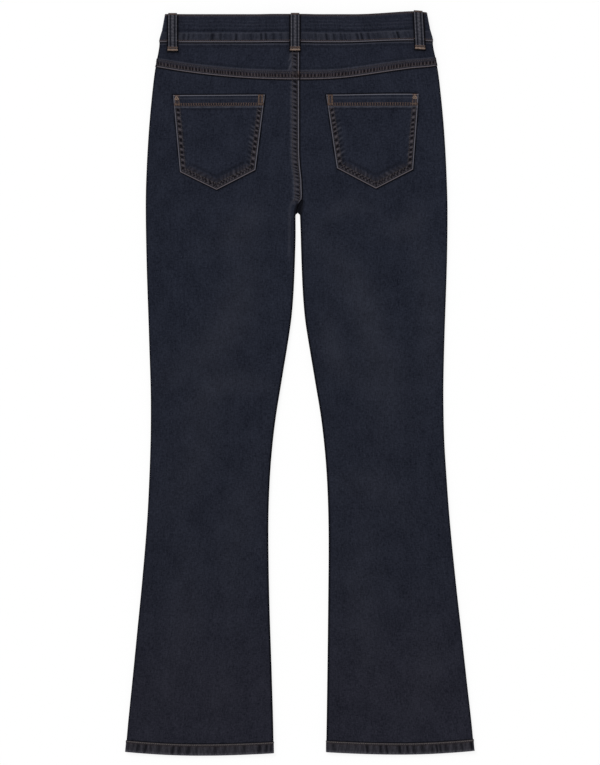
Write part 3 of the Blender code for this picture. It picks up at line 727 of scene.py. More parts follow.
def lines_between(upper, lower, parts):
    """Lines that change evenly from one line across the cloth to another."""
    return [lambda x, part=part: between(upper(x), lower(x), part) for part in parts]


def lines_below_band(distances):
    """Lines that follow the lower edge of the front of the waistband."""
    return [lambda x, below=below: BAND_HEIGHT + front_dip(x) + below for below in distances]


def no_margin(x, down):
    return np.zeros_like(x)


SETTLE_ROUNDS = 6


def add_panel(name, layer, hand, lines, columns, mark, start=no_margin, end=no_margin):
    """A panel of one layer, with a row of points on each line. mark gives its rise, wear and darkness."""
    weights, offsets = columns
    grid = []
    for line in lines:
        x = side_x(hand, 0.0) * (1.0 - weights)
        for _ in range(SETTLE_ROUNDS):
            down = line(x)
            width = layer.width(hand, down)
            along = between(start(x, down), width - end(x, down), weights) + offsets
            x, _z = cloth_point(layer, hand, along, down, 0.0)
        grid.append((x, down, along, width))
    x, down, along, width = (np.array(part) for part in zip(*grid))
    marks = mark(x, down, along, width - along)
    outer_x, outer_z = cloth_point(layer, hand, along, down, -marks.rise)
    inner_x, inner_z = cloth_point(layer, hand, along, down, CLOTH)
    outer = place(outer_x, down, outer_z)
    inner = place(inner_x, down, inner_z)
    return add_wall(name, outer, inner, (-hand * layer.faces * along, -down), marks)


# %% Distances at which the panels have their lines
def steps(start, end, size):
    """Evenly spaced steps from start to end, about this far apart."""
    return tuple(np.linspace(start, end, max(2, round((end - start) / size) + 1)))


ARC = EDGE_RADIUS * QUARTER
EDGE_STEPS = steps(0.0, ARC, 0.00065)
FADE_STEPS = EDGE_STEPS + (0.0055, 0.008, 0.012, 0.017, 0.023, 0.031, EDGE_FADE)
SEAT_FELL_STEPS = EDGE_STEPS + steps(0.0048, SEAT_FELL_WIDTH, 0.00096) + (SEAT_FELL_WIDTH + FELL_EDGE,)
FELL_STEPS = SEAT_FELL_STEPS + (0.0135, 0.0155, 0.018, 0.022, 0.026, 0.033, EDGE_FADE)
FINE = 0.00115
COARSE = 0.0040

# The pieces of cloth, each under the name of the solid that it stands for.
cloth = {}


# %% [markdown]
# ## Backs
#
# Each back runs from the yoke to the hem. On the wearer's left it also carries the felled seam of the
# seat, a raised strip with a pale folded edge that laps over the other half. The rows lie close together
# as far down as the fork, where the seam's puckers are, and further apart on the legs.

# %% Distance to the pieces that lie on the backs
def yoke_line(x):
    """Level of the seam between a yoke and the back below it."""
    part = (x - CENTRE_X) / YOKE_HALF_WIDTH
    return between(YOKE_AT_CENTRE, YOKE_AT_SIDE, part * part)


def pocket_edges(side):
    """Each edge of a back pocket: where it starts, its direction, its length and its inward normal."""
    columns = POCKET_CORNERS[side]
    corners = np.stack([columns["x"], columns["down"]], axis=-1)
    middle = corners.mean(axis=0)
    for first, second in zip(corners, np.roll(corners, -1, axis=0)):
        length = np.linalg.norm(second - first)
        direction = (second - first) / length
        normal = np.array([-direction[1], direction[0]])
        if normal @ (middle - first) < 0.0:
            normal = -normal
        yield first, direction, length, normal


def distance_past(x, down, at, way):
    """How far a place lies past a point, measured in one direction."""
    return (x - at[0]) * way[0] + (down - at[1]) * way[1]


def outside_pocket(side, x, down):
    """Distance out from the edge of a back pocket, negative inside it."""
    inside = [distance_past(x, down, at, into) for at, _way, _length, into in pocket_edges(side)]
    return -np.min(inside, axis=0)


def loop_middle(name, down):
    """x of the middle of a belt loop on the back."""
    return between(*BACK_LOOPS[name], (down - LOOP_TOP) / (LOOP_FOOT - LOOP_TOP))


def outside_loops(x, down):
    """Distance out from the nearest belt loop on the back."""
    found = []
    for name in BACK_LOOPS:
        found.append(np.maximum(np.abs(x - loop_middle(name, down)) - LOOP_WIDTH / 2, down - LOOP_FOOT))
    return np.min(found, axis=0)


# %% Marks on the backs
SEAT_HOLLOWS = rhythm(0.30, 0.0062, 11, uneven=0.40, shallowest=0.45)
SEAT_SLANT = 0.35
# The second stripe is painted shade, just inside the folded edge.
SEAT_STRIPES = stripe_table(
    (*FOLD_EDGE, 1.00, 0.00, 0.20, EDGE_SOFT),
    (0.0018, 0.0042, 0.00, 0.72, 0.00, STRIPE_SOFT),
    (0.0018, 0.0110, 0.04, 0.00, 0.35, STRIPE_SOFT),
)
SEAT_PITS = {"start": 0.0022, "end": 0.0094, "worn": 0.30, "dark": 1.50, "warm": 0.25}
SEAT_TAPER = (0.0054, 0.0092)
SEAT_TAPERS_BY = 0.55
SEAT_MARKS_END = (0.2740, 0.2850)
RIM_SHADE = 0.90
RIM_REACH = (0.0026, 0.0044)
INSEAM_REACH = (0.0032, 0.0050)
LEFT_OF_FORK = (-0.0064, -0.0050)
RIGHT_OF_FORK = (0.0006, 0.0022)
FORK_SHADE = {"start": 0.2795, "end": 0.3030, "soft": 0.0030}
BESIDE_INSEAM = {"start": 0.2750, "end": 0.3600, "soft": 0.0100}
INSEAM_STRIPE = {"start": 0.0085, "end": 0.0125, "worn": 0.07, "soft": 0.0012}
FOLD_LIGHT_AND_WEAR = 0.05
FOLD_LIGHT_STARTS = (0.24, 0.30)
POCKET_FEET = (0.2300, 0.2360)
HEM_SHADE_GROWS = 1.4


def mark_rims(marks, along, to_inner, down, layer):
    """The rounded edges turn away from the light, and painted shade darkens them."""
    marks.seam(dark=RIM_SHADE * (1.0 - smoothstep(along, *RIM_REACH)))
    marks.seam(dark=(1.0 - smoothstep(to_inner, *INSEAM_REACH)) * layer.turn(down) / QUARTER)


def mark_seat(marks, to_inner, down, where=1.0):
    """The felled seam of the seat, with hollows that taper away from its folded edge."""
    hollows = SEAT_HOLLOWS(down + SEAT_SLANT * to_inner)
    ridges = (1.0 - hollows) ** 2
    marks.stripes(to_inner, SEAT_STRIPES, where)
    tapered = hollows * (1.0 - SEAT_TAPERS_BY * smoothstep(to_inner, *SEAT_TAPER))
    marks.pits(to_inner, tapered, **SEAT_PITS, where=where)
    marks.stripe(to_inner, 0.0100, 0.0122, worn=0.07 + 0.16 * ridges, soft=0.0007, where=where)
    marks.stripe(to_inner, 0.0120, 0.0134, worn=0.14 * ridges, soft=0.0010, where=where)


def mark_back(side):
    def mark(x, down, along, to_inner):
        marks = Marks(x)
        mark_rims(marks, along, to_inner, down, BACK)
        # Paler on the folds' crests: partly wear, partly painted highlight.
        marks.seam(worn=FOLD_LIGHT_AND_WEAR * fold_light_and_wear(x, down) * smoothstep(down, *FOLD_LIGHT_STARTS))
        # Painted shade fills the fork, and a painted shadow lies along the yoke seam, the pockets, the other
        # half's fell and the hem.
        at_fork = band(down, **FORK_SHADE)
        if side == "left":
            marks.seam(dark=smoothstep(x, *LEFT_OF_FORK) * at_fork)
            fell = 1.0 - smoothstep(to_inner, SEAT_FELL_WIDTH, SEAT_FELL_WIDTH + FELL_EDGE)
            marks.rise += FELL_RISE * fell * (1.0 - smoothstep(down, SEAT_FELL_FADES, SEAT_FELL_END))
            mark_seat(marks, to_inner, down, 1.0 - smoothstep(down, *SEAT_MARKS_END))
            marks.stripe(to_inner, **INSEAM_STRIPE, where=band(down, **BESIDE_INSEAM))
        else:
            marks.seam(dark=(1.0 - smoothstep(to_inner, *RIGHT_OF_FORK)) * at_fork)
            marks.shaded_by(to_inner + smoothstep(down, 0.285, 0.300))
        marks.shaded_by(down - yoke_line(x))
        beside_foot = 1.0 + 0.5 * smoothstep(down, *POCKET_FEET)
        marks.shaded_by(np.maximum(outside_pocket(side, x, down), 0.0) * beside_foot)
        marks.shaded_by(HEM_SHADE_GROWS * (HEM_TOP - down) + SEAM_GAP)
        return marks

    return mark


# %% Make the backs
LINES_MEET = 0.3000
BACK_MIDDLE = 24
back_lines = lines_between(
    lambda x: yoke_line(x) + SEAM_GAP / 2, straight(LINES_MEET), steps(0.0, 1.0, FINE / 0.210)
)
back_lines += [straight(level) for level in steps(LINES_MEET, HEM_TOP - SEAM_GAP / 2, COARSE)[1:]]
for side, inner_steps in (("left", FELL_STEPS), ("right", FADE_STEPS)):
    columns = columns_of(FADE_STEPS, BACK_MIDDLE, inner_steps)
    cloth[f"back_{side}"] = add_panel(
        f"back_{side}_cloth", BACK, HANDS[side], back_lines, columns, mark_back(side)
    )


# %% [markdown]
# ## Yokes
#
# A yoke is a shaped strip between the waistband and the back: it gives the seat its curve. Its seam is
# felled too, with the yoke lapped over the back and stitched down along a pale folded edge. Beside the
# seat seam, a few short tucks run up at a slant, where the cloth was pulled when it was sewn.

# %% Marks on the yokes
LOOP_SHADE = 0.66
LOOP_SHADE_REACH = 0.0040


def shade_beside_loops(marks, outside):
    """Painted shadow on the cloth beside a belt loop, which stands above it."""
    outside = np.maximum(outside, 0.0)
    marks.shaded_by(np.maximum(outside - 0.0006, 0.0))
    marks.seam(dark=LOOP_SHADE * np.exp(-outside / LOOP_SHADE_REACH))


TUCKS = table(
    "x down angle length width rise bend",
    (-0.0150, 0.0800, 62, 0.0062, 0.0015, 0.00035, 0.0),
    (-0.0128, 0.0725, 66, 0.0058, 0.0014, 0.00030, 0.0),
    (-0.0142, 0.0655, 58, 0.0050, 0.0014, 0.00030, 0.0),
    (-0.0125, 0.0580, 55, 0.0045, 0.0013, 0.00025, 0.0),
)
TUCK_WEAR = 0.27
YOKE_HOLLOWS = {"left": rhythm(0.23, PUCKER_PITCH, 21), "right": rhythm(0.23, PUCKER_PITCH, 22)}
# Below the waistband: a paler line, then a band of painted shade.
BELOW_BAND_STRIPES = stripe_table(
    (0.0022, 0.0034, 0.22, 0.00, 0.00, STRIPE_SOFT),
    (0.0046, 0.0082, 0.00, 0.30, 0.00, 0.0014),
)


def mark_yoke(side):
    def mark(x, down, along, to_inner):
        marks = Marks(x)
        mark_rims(marks, along, to_inner, down, BACK)
        to_edge = yoke_line(x) - down
        fell = 1.0 - smoothstep(to_edge, FELL_WIDTH, FELL_WIDTH + FELL_EDGE)
        if side == "left":
            seat_fell = 1.0 - smoothstep(to_inner, SEAT_FELL_WIDTH, SEAT_FELL_WIDTH + FELL_EDGE)
            fell = np.maximum(fell, seat_fell)
            mark_seat(marks, to_inner, down, smoothstep(to_edge, 0.0010, 0.0030))
            tucks = swells(TUCKS, x, down)
            marks.seam((tucks * TUCKS["rise"]).sum(axis=-1), TUCK_WEAR * tucks.sum(axis=-1))
            crossing = band(to_inner, 0.0016, 0.0090, 0.0008) * band(to_edge, 0.0016, 0.0088, 0.0010)
            marks.seam(worn=0.24 * crossing, warm=0.9 * crossing)
        else:
            marks.shaded_by(to_inner)
        marks.rise = marks.rise + FELL_RISE * fell
        marks.fell(to_edge, along, YOKE_HOLLOWS[side])
        marks.shaded_by(down - BAND_HEIGHT)
        marks.stripes(down - BAND_HEIGHT, BELOW_BAND_STRIPES)
        shade_beside_loops(marks, outside_loops(x, down))
        return marks

    return mark


# %% Make the yokes
yoke_top = straight(BAND_HEIGHT + SEAM_GAP / 2)
yoke_lines = lines_between(yoke_top, lambda x: yoke_line(x) - FELL_WIDTH - FELL_EDGE, steps(0.0, 1.0, 0.035))
yoke_lines += [
    lambda x, above=above: yoke_line(x) - above
    for above in reversed(steps(SEAM_GAP / 2, 0.0030, 0.0006) + steps(0.0038, FELL_WIDTH, 0.00095))
]
YOKE_MIDDLE = {"left": 240, "right": 245}
for side, inner_steps in (("left", SEAT_FELL_STEPS), ("right", EDGE_STEPS)):
    columns = columns_of(EDGE_STEPS, YOKE_MIDDLE[side], inner_steps)
    cloth[f"yoke_{side}"] = add_panel(
        f"yoke_{side}_cloth", BACK, HANDS[side], yoke_lines, columns, mark_yoke(side)
    )


# %% [markdown]
# ## Fronts
#
# The fronts lie face down, so only their edges show from above. They are finished like the backs, with the
# curved pocket openings, the facings that fill them and the flap of the fly.

# %% Openings in the fronts
def quarter_ellipse(width, part):
    """Width of a quarter ellipse at this part of its depth, and 0 past its end."""
    inside = np.clip(part, 0.0, 1.0)
    return np.where(part < 1.0, width * np.sqrt(1.0 - inside * inside), 0.0)


def scoop(trim):
    """Width of the pocket opening in a front, from the side rim, with this much trimmed off."""
    width = SCOOP_WIDTH - trim
    depth = SCOOP_DEPTH - trim
    return lambda x, down: quarter_ellipse(width, below_front_band(x, down) / depth)


def flap(trim):
    """Width of the fly, from the centre front, with this much trimmed off."""
    width = FLY_WIDTH - trim
    depth = FLY_CURVE - trim
    return lambda x, down: quarter_ellipse(width, (below_front_band(x, down) - FLY_STRAIGHT) / depth)


def arc_levels(depth, count):
    """Levels down a quarter ellipse, closer together towards its end."""
    return [depth * math.sin(angle) for angle in np.linspace(0.0, QUARTER, count)]


# %% Marks on the fronts
FRONT_HOLLOWS = rhythm(0.40, PUCKER_PITCH, 31)
RUN_TO_SCOOP = 0.15
SHADE_INSIDE_FORK = {"start": 0.2700, "end": 0.3010, "soft": 0.0040}
SHADE_INSIDE_REACH = (0.0090, 0.0120)
FLY_EDGE = {"start": 0.0002, "end": 0.0019, "worn": 0.60}
FLY_PITS = {"start": 0.0030, "end": 0.0066, "worn": 0.20, "dark": 0.80}


def mark_front(x, down, along, to_inner):
    marks = Marks(x)
    mark_rims(marks, along, to_inner, down, FRONT)
    below = below_front_band(x, down)
    part_across, part_down = along / SCOOP_WIDTH, below / SCOOP_DEPTH
    past = np.hypot(part_across, part_down)
    grade = np.hypot(part_across / SCOOP_WIDTH, part_down / SCOOP_DEPTH) / past
    from_scoop = np.maximum((past - 1.0) / grade, 0.0)
    marks.fell(from_scoop, below - along + RUN_TO_SCOOP, FRONT_HOLLOWS)
    marks.shaded_by(below)
    marks.part()
    # Painted shade on the inner face of the fronts, where it shows through the fork.
    marks.inside.seam(dark=(1.0 - smoothstep(to_inner, *SHADE_INSIDE_REACH)) * band(down, **SHADE_INSIDE_FORK))
    return marks


def mark_facing(x, down, along, to_inner):
    marks = Marks(x)
    marks.shaded_by(below_front_band(x, down))
    marks.shaded_by(np.maximum(scoop(0.0)(x, down) - along, 0.0))
    return marks


def mark_fly(x, down, along, to_inner):
    marks = Marks(x)
    marks.stripe(to_inner, **FLY_EDGE)
    marks.pits(to_inner, FRONT_HOLLOWS(down), **FLY_PITS)
    marks.shaded_by(below_front_band(x, down))
    return marks


# %% Make the fronts
SCOOP_ARC = 26
FLY_ARC = 12
FRONT_MIDDLE = 30
BELOW_SCOOP = SCOOP_DEPTH + 0.0120
FORK_LINES = (0.2750, 0.3060)
below_levels = [SEAM_GAP / 2] + arc_levels(SCOOP_DEPTH, SCOOP_ARC)[1:]
below_levels += list(steps(SCOOP_DEPTH + SEAM_GAP, BELOW_SCOOP, FINE))
below_levels += list(steps(BELOW_SCOOP, FLY_STRAIGHT, COARSE)[1:])
below_levels += [FLY_STRAIGHT + step for step in arc_levels(FLY_CURVE, FLY_ARC)[1:]]
below_levels.append(FLY_STRAIGHT + FLY_CURVE + SEAM_GAP)
front_lines = lines_below_band(below_levels)
front_lines += lines_between(front_lines[-1], straight(FORK_LINES[0]), steps(0.0, 1.0, 0.06)[1:])
front_lines += [straight(level) for level in steps(*FORK_LINES, 0.0012)[1:]]
front_lines += [straight(level) for level in steps(FORK_LINES[1], HEM_TOP - SEAM_GAP / 2, 0.0055)[1:]]
CLOSED_ABOVE_FORK = {"start": 0.2700, "end": 0.2950, "soft": 0.0040}
CLOSED_BY = 0.0005


def beyond_seam(x, down):
    """The seam allowance that closes the centre front above the fork, where one can see down to it."""
    return -CLOSED_BY * band(down, **CLOSED_ABOVE_FORK)


def beside_fly(x, down):
    return flap(0.0)(x, down) + beyond_seam(x, down)


for side, inner_end in (("left", beside_fly), ("right", beyond_seam)):
    columns = columns_of(EDGE_STEPS, FRONT_MIDDLE, EDGE_STEPS)
    cloth[f"front_{side}"] = add_panel(
        f"front_{side}_cloth", FRONT, HANDS[side], front_lines, columns, mark_front, scoop(0.0), inner_end
    )

# %% Make the facings and the fly
facing_lines = lines_below_band([SEAM_GAP / 2] + arc_levels(SCOOP_DEPTH - SEAM_GAP, SCOOP_ARC)[1:-1])
FACING_MIDDLE = 24
facing_columns = columns_of(EDGE_STEPS, FACING_MIDDLE, (0.0,))
for side, hand in HANDS.items():

    def beside_facing(x, down, hand=hand):
        return FRONT.width(hand, down) - scoop(SEAM_GAP)(x, down)

    name = f"front_pocket_{side}"
    cloth[name] = add_panel(
        name + "_facing", FRONT, hand, facing_lines, facing_columns, mark_facing, end=beside_facing
    )


def before_fly(x, down):
    return FRONT.width(HANDS["left"], down) - flap(SEAM_GAP)(x, down)


FLAP_ARC = 14
FLAP_MIDDLE = 16
FLAP_EDGE_STEPS = steps(0.0, 0.008, 0.001)
fly_levels = list(steps(SEAM_GAP / 2, FLY_STRAIGHT, 0.003))
fly_levels += [FLY_STRAIGHT + step for step in arc_levels(FLY_CURVE - SEAM_GAP, FLAP_ARC)[1:-1]]
fly_columns = columns_of((0.0,), FLAP_MIDDLE, FLAP_EDGE_STEPS)
cloth["fly"] = add_panel(
    "fly_flap", FRONT, HANDS["left"], lines_below_band(fly_levels), fly_columns, mark_fly, start=before_fly
)


# %% [markdown]
# ## Waistband
#
# The waistband is one long strip, folded lengthwise, that goes all round and laps left over right at the
# centre front. Its lower edge is stitched to the yokes. Above that edge the elastic cloth puckers in
# uneven upright ridges, and higher up a soft groove and a few faint lines run along it.

# %% Stations round the waistband
TURN_STEPS = 12
BACK_STEP = 0.0013
FRONT_STEP = 0.0030
turn_angles = [math.pi * step / TURN_STEPS for step in range(1, TURN_STEPS)]
band_stations = [(across, 0.0, 0.0) for across in steps(BAND_END_OVER, -BAND_REACH, -FRONT_STEP)]
band_stations += [(-BAND_REACH, angle, 0.0) for angle in turn_angles]
band_stations += [(across, math.pi, 0.0) for across in steps(-BAND_REACH, BAND_REACH, BACK_STEP)]
band_stations += [(BAND_REACH, angle, 0.0) for angle in reversed(turn_angles)]
band_stations += [(across, 0.0, 1.0) for across in steps(BAND_REACH, BAND_END_UNDER, -FRONT_STEP)]
band_across, band_angle, band_behind = np.array(band_stations).T

# Each run of levels has its start, its end and how far apart they are.
LEVEL_RUNS = ((0.0, 0.0230, 0.0015), (0.0240, 0.0384, 0.0010), (0.0389, BAND_HEIGHT - SEAM_GAP / 2, 0.0006))
band_levels = np.concatenate([steps(*run) for run in LEVEL_RUNS])
print(f"{len(band_stations)} stations round the waistband")


def run_along(points):
    """The way along a line of points to each of them."""
    return np.concatenate([[0.0], np.cumsum(np.linalg.norm(np.diff(points, axis=0), axis=1))])


def band_points(depth):
    """The waistband's points on a face this deep below its outer one, on a grid of levels and stations."""
    level, across = np.meshgrid(band_levels, band_across, indexing="ij")
    angle = np.broadcast_to(band_angle, level.shape)
    x = outline_lean(level) + across / BAND_REACH * (half_width(level) - BAND_RADIUS)
    radius = BAND_RADIUS - depth
    turned_x = x + np.sign(across) * radius * np.sin(angle)
    lift = (BAND_CLOTH + SEAM_GAP) * overlap(x) * band_behind
    z = np.where(angle == 0.0, BAND_LIFT + lift + depth, BAND_LIFT + BAND_RADIUS - radius * np.cos(angle))
    z = np.where(angle == math.pi, band_top(x, level) - depth, z)
    down = level + np.where(angle == 0.0, front_dip(x), 0.0)
    return place(np.where(angle % math.pi == 0.0, x, turned_x), down, z), x, level


# %% Marks on the waistband
BAND_HOLLOWS = rhythm(1.0, 0.0085, 41, uneven=0.50, shallowest=0.45)
BAND_FINE = rhythm(1.0, 0.0032, 43, uneven=0.45, shallowest=0.20)
BAND_STRENGTH = rhythm(1.0, 0.0400, 42, uneven=0.45)
SIDE_PUCKERS = rhythm(0.20, 0.0058, 44, uneven=0.45, shallowest=0.40)
BAND_END_BESIDE_LOOP = (-0.2020, -0.1970)
GROOVE_LEVEL = 0.0243
GROOVE_HALF = 0.0010
LINE_HALF = 0.0004
STRIP_TOP = 0.0274
STRETCH_LINES = ((0.0080, 0.45), (0.0128, 0.60), (0.0178, 0.50))
BAND_SLANT = 0.10
PUCKERED = (STRIP_TOP + 0.0010, BAND_HEIGHT - 0.0022)
PUCKER_MIDDLE = (STRIP_TOP + 0.0036, BAND_HEIGHT - 0.0040)
BAND_TOP_STRIPES = stripe_table(
    (-0.0010, 0.0040, 0.10, 0.00, 1.00, 0.0010),
    (STRIP_TOP, STRIP_TOP + 0.0015, 0.20, 0.00, 0.00, 0.0007),
)
BAND_FOOT_STRIPES = stripe_table(
    (*FOLD_EDGE, 1.00, 0.00, 0.30, EDGE_SOFT),
    (0.0018, 0.0036, 0.06, 0.00, 0.60, STRIPE_SOFT),
)


def mark_band(x, level, run):
    """The marks of the waistband, where run is the way round it."""
    marks = Marks(x)
    to_foot = BAND_HEIGHT - level
    marks.stripes(level, BAND_TOP_STRIPES)
    marks.stripes(to_foot, BAND_FOOT_STRIPES)
    # The darkness of the puckers, the ticks, the groove and the stretch lines is painted shade.
    strength = 0.4 + 0.6 * BAND_STRENGTH(run)
    pits = BAND_HOLLOWS(run + BAND_SLANT * to_foot) ** 2 * strength
    marks.pits(level, pits, *PUCKERED, worn=0.15 * strength, dark=1.20, soft=0.0010)
    fine = BAND_FINE(run + BAND_SLANT * to_foot)
    middle = band(level, *PUCKER_MIDDLE, 0.0016)
    marks.seam(-0.00010 * fine * middle, dark=0.45 * fine * middle)
    marks.stripe(level, 0.0010, GROOVE_LEVEL, dark=0.26 * fine**2)
    ridges = (1.0 - SIDE_PUCKERS(level + 0.5 * x)) ** 2
    beyond_loop = 1.0 - smoothstep(x, *BAND_END_BESIDE_LOOP)
    marks.stripe(level, 0.0030, 0.0370, worn=0.34 * ridges, where=beyond_loop)
    wandering = level + 0.0004 * np.sin(run / 0.031) + 0.0003 * np.sin(run / 0.0117 + 1.0)
    groove = band(wandering, GROOVE_LEVEL - GROOVE_HALF, GROOVE_LEVEL + GROOVE_HALF, 0.0012)
    marks.seam(-0.00030 * groove, dark=0.58 * groove)
    for line, depth in STRETCH_LINES:
        crease = depth * band(wandering, line - LINE_HALF, line + LINE_HALF, 0.0011)
        below = depth * band(wandering, line + 0.0015, line + 0.0022, 0.0010)
        marks.seam(-0.00012 * crease, 0.22 * below, 0.70 * crease * (0.4 + BAND_STRENGTH(run + line)))
    marks.part()
    on_back = band_angle == math.pi
    shade_beside_loops(marks, np.where(on_back, outside_loops(x, level), 1.0))
    return marks


# %% Make the waistband
band_outer, band_x, band_level = band_points(0.0)
band_run = run_along(band_outer[0])
band_marks = mark_band(band_x, band_level, np.broadcast_to(band_run, band_x.shape))
band_outer, _x, _level = band_points(-band_marks.rise)
band_inner, _x, _level = band_points(BAND_CLOTH)
cloth["waistband"] = add_wall(
    "waistband_cloth", band_outer, band_inner, (band_run, -band_level), band_marks
)

# %% [markdown]
# ## Hems
#
# A bootcut hem is turned up twice and sewn with one row of thread near its upper edge. It is a ring round
# the leg opening. The turned cloth lies at a slight twist, which gives the row of upright ticks that
# every washed hem has, and its bottom edge is rubbed pale.

# %% Rings of the hems
HEM_TICKS = {
    "left": rhythm(0.60, 0.0095, 51, uneven=0.55, shallowest=0.20),
    "right": rhythm(0.60, 0.0095, 52, uneven=0.55, shallowest=0.20),
}
HEM_FINE = rhythm(0.60, 0.0042, 53, uneven=0.50, shallowest=0.20)
HEM_LEVELS = np.array(steps(HEM_TOP + SEAM_GAP / 2, LENGTH, 0.0009))


def hem_ring(hand, level, depth):
    """Points round one leg opening: over the top from the side, and back under it."""
    depth = np.broadcast_to(depth, level.shape)
    radius = HEM_RADIUS - depth
    side = side_x(hand, level) + hand * (HEM_PROUD - HEM_RADIUS)
    inner = gap_lean(level) + hand * (half_gap(level) - HEM_PROUD / 2 + HEM_RADIUS)
    width = np.abs(side - inner)
    middle = 2 * HEM_CLOTH + LAYER_GAP
    from_edge = np.minimum(HEM_PARTS, 1.0 - HEM_PARTS) * width
    top = middle + (2 * HEM_RADIUS - middle) * (1.0 - smoothstep(from_edge, 0.0, EDGE_FADE)) - depth
    turned = HEM_RADIUS - radius * np.cos(HEM_ANGLES)
    over = hand * HEM_PARTS * width
    round_edge = hand * radius * np.sin(HEM_ANGLES)
    x = np.select(
        [HEM_PLACES == 0, HEM_PLACES == 1, HEM_PLACES == 2],
        [side - over, inner - round_edge, inner + over],
        side + round_edge,
    )
    z = np.select([HEM_PLACES == 0, HEM_PLACES == 2], [top, depth], turned)
    return x, z


HEM_STEP_ABOVE = 0.0052
HEM_STEP_BELOW = 0.0200
hem_stations = [(0, part, 0.0) for part in steps(0.0, 1.0, HEM_STEP_ABOVE)]
hem_stations += [(1, 0.0, angle) for angle in reversed(turn_angles)]
hem_stations += [(2, part, 0.0) for part in steps(0.0, 1.0, HEM_STEP_BELOW)]
hem_stations += [(3, 0.0, angle) for angle in turn_angles]
HEM_PLACES, HEM_PARTS, HEM_ANGLES = np.array(hem_stations).T


# %% Marks on the hems
HEM_STRIPES = stripe_table(
    (0.0006, 0.0018, 0.42, 0.00, 0.60, STRIPE_SOFT),
    (0.0026, 0.0046, 0.07, 0.12, 1.00, STRIPE_SOFT),
)
HEM_PITS = {"start": 0.0034, "end": 0.0156, "worn": 0.14, "dark": 1.00, "soft": 0.0014}
HEM_FOOT = (0.0012, 0.0070)


def mark_hem(side, x, level, run):
    """The marks of a hem, where run is the way round it."""
    marks = Marks(x)
    from_top = level - HEM_TOP
    fine = HEM_FINE(run - 0.25 * from_top)
    # The darkness in the hem's ticks and hollows is painted shade.
    marks.pits(from_top, HEM_TICKS[side](run + 0.12 * from_top), **HEM_PITS)
    marks.stripe(from_top, 0.0040, 0.0150, worn=0.14 * (1.0 - fine) ** 2, dark=0.46 * fine, soft=0.0016)
    marks.stripes(from_top, HEM_STRIPES)
    marks.seam(worn=(0.14 + 0.24 * (1.0 - fine)) * (1.0 - smoothstep(LENGTH - level, *HEM_FOOT)))
    return marks


# %% Make the hems
for side, hand in HANDS.items():
    level = np.broadcast_to(HEM_LEVELS[:, None], (len(HEM_LEVELS), len(hem_stations)))
    x, z = hem_ring(hand, level, 0.0)
    run = run_along(place(x, level, z)[0])
    marks = mark_hem(side, x, level, np.broadcast_to(run, x.shape))
    outer_x, outer_z = hem_ring(hand, level, -marks.rise)
    inner_x, inner_z = hem_ring(hand, level, HEM_CLOTH)
    outer = place(outer_x, level, outer_z)
    inner = place(inner_x, level, inner_z)
    cloth[f"hem_{side}"] = add_wall(f"hem_{side}_cloth", outer, inner, (run, -level), marks, ring=True)


# %% [markdown]
# ## Belt loops
#
# A belt loop is a strip folded in three and stitched down along both edges, which leaves two grooves and
# a rib between them. Here it lies flat over the waistband, and a bar of close stitches holds each end.

# %% Make the belt loops
LOOP_LEVELS = np.array(steps(LOOP_TOP, BAND_HEIGHT, 0.0016) + steps(BAND_HEIGHT + 0.003, LOOP_FOOT, 0.0009))
LOOP_ACROSS = np.linspace(-1.0, 1.0, 29)
LOOP_HOLLOWS = rhythm(0.08, 0.0040, 61, uneven=0.35)
LOOP_TICKS = rhythm(0.08, 0.0062, 62, uneven=0.45, shallowest=0.30)
LOOP_GROOVE = 0.0033
LOOP_EDGE = 0.0010
LOOP_THINNER = 0.05
FRONT_LOOP_LIFT = 0.00008


def mark_loop(across, level):
    """The marks of a loop, at parts of its half width to each side of its middle."""
    marks = Marks(across)
    from_middle = np.abs(across) * LOOP_WIDTH / 2
    to_edge = LOOP_WIDTH / 2 - from_middle
    # The grooves and the ticks beside them are darkened with painted shade.
    groove = band(from_middle, LOOP_GROOVE - 0.0006, LOOP_GROOVE + 0.0006, 0.0007)
    pits = LOOP_HOLLOWS(level + 0.004 * np.sign(across))
    beside_groove = pits * (from_middle > 0.002)
    marks.seam(-0.00030 * groove - 0.00012 * beside_groove, dark=(0.35 + 0.65 * pits) * groove)
    marks.stripe(to_edge, 0.0004, 0.0017, worn=0.78 - 0.50 * pits)
    marks.stripe(from_middle, -1.0, 0.0018, worn=0.58 - 0.50 * pits)
    ticks = LOOP_TICKS(level + 0.35 * across * LOOP_WIDTH)
    marks.stripe(to_edge, 0.0012, 1.0, dark=0.55 * ticks**3)
    rounded = 0.0004 * (1.0 - smoothstep(to_edge, 0.0, LOOP_EDGE))
    marks.rise = marks.rise - rounded - LOOP_CLOTH * LOOP_THINNER
    return marks


def under_loop(name, x, level):
    """Height of what a loop on the back lies on: the waistband, and the yokes below it."""
    on_fell = FELL_RISE if name == "belt_loop_back" else 0.0
    return np.where(level <= BAND_HEIGHT, band_top(x, np.maximum(level, 0.0)), cloth_top(x, level) + on_fell)


def add_loop(name, x, down, under, facing_down=False):
    """A belt loop on a grid of places, which lies on the surface under it."""
    marks = mark_loop(np.broadcast_to(LOOP_ACROSS, x.shape), np.broadcast_to(LOOP_LEVELS[:, None], x.shape))
    if facing_down:
        outer = -marks.rise - FRONT_LOOP_LIFT
        inner = under - SEAM_GAP
    else:
        inner = under + SEAM_GAP
        outer = inner + LOOP_CLOTH + marks.rise
    cloth[name] = add_wall(name + "_strip", place(x, down, outer), place(x, down, inner), (x, -down), marks)


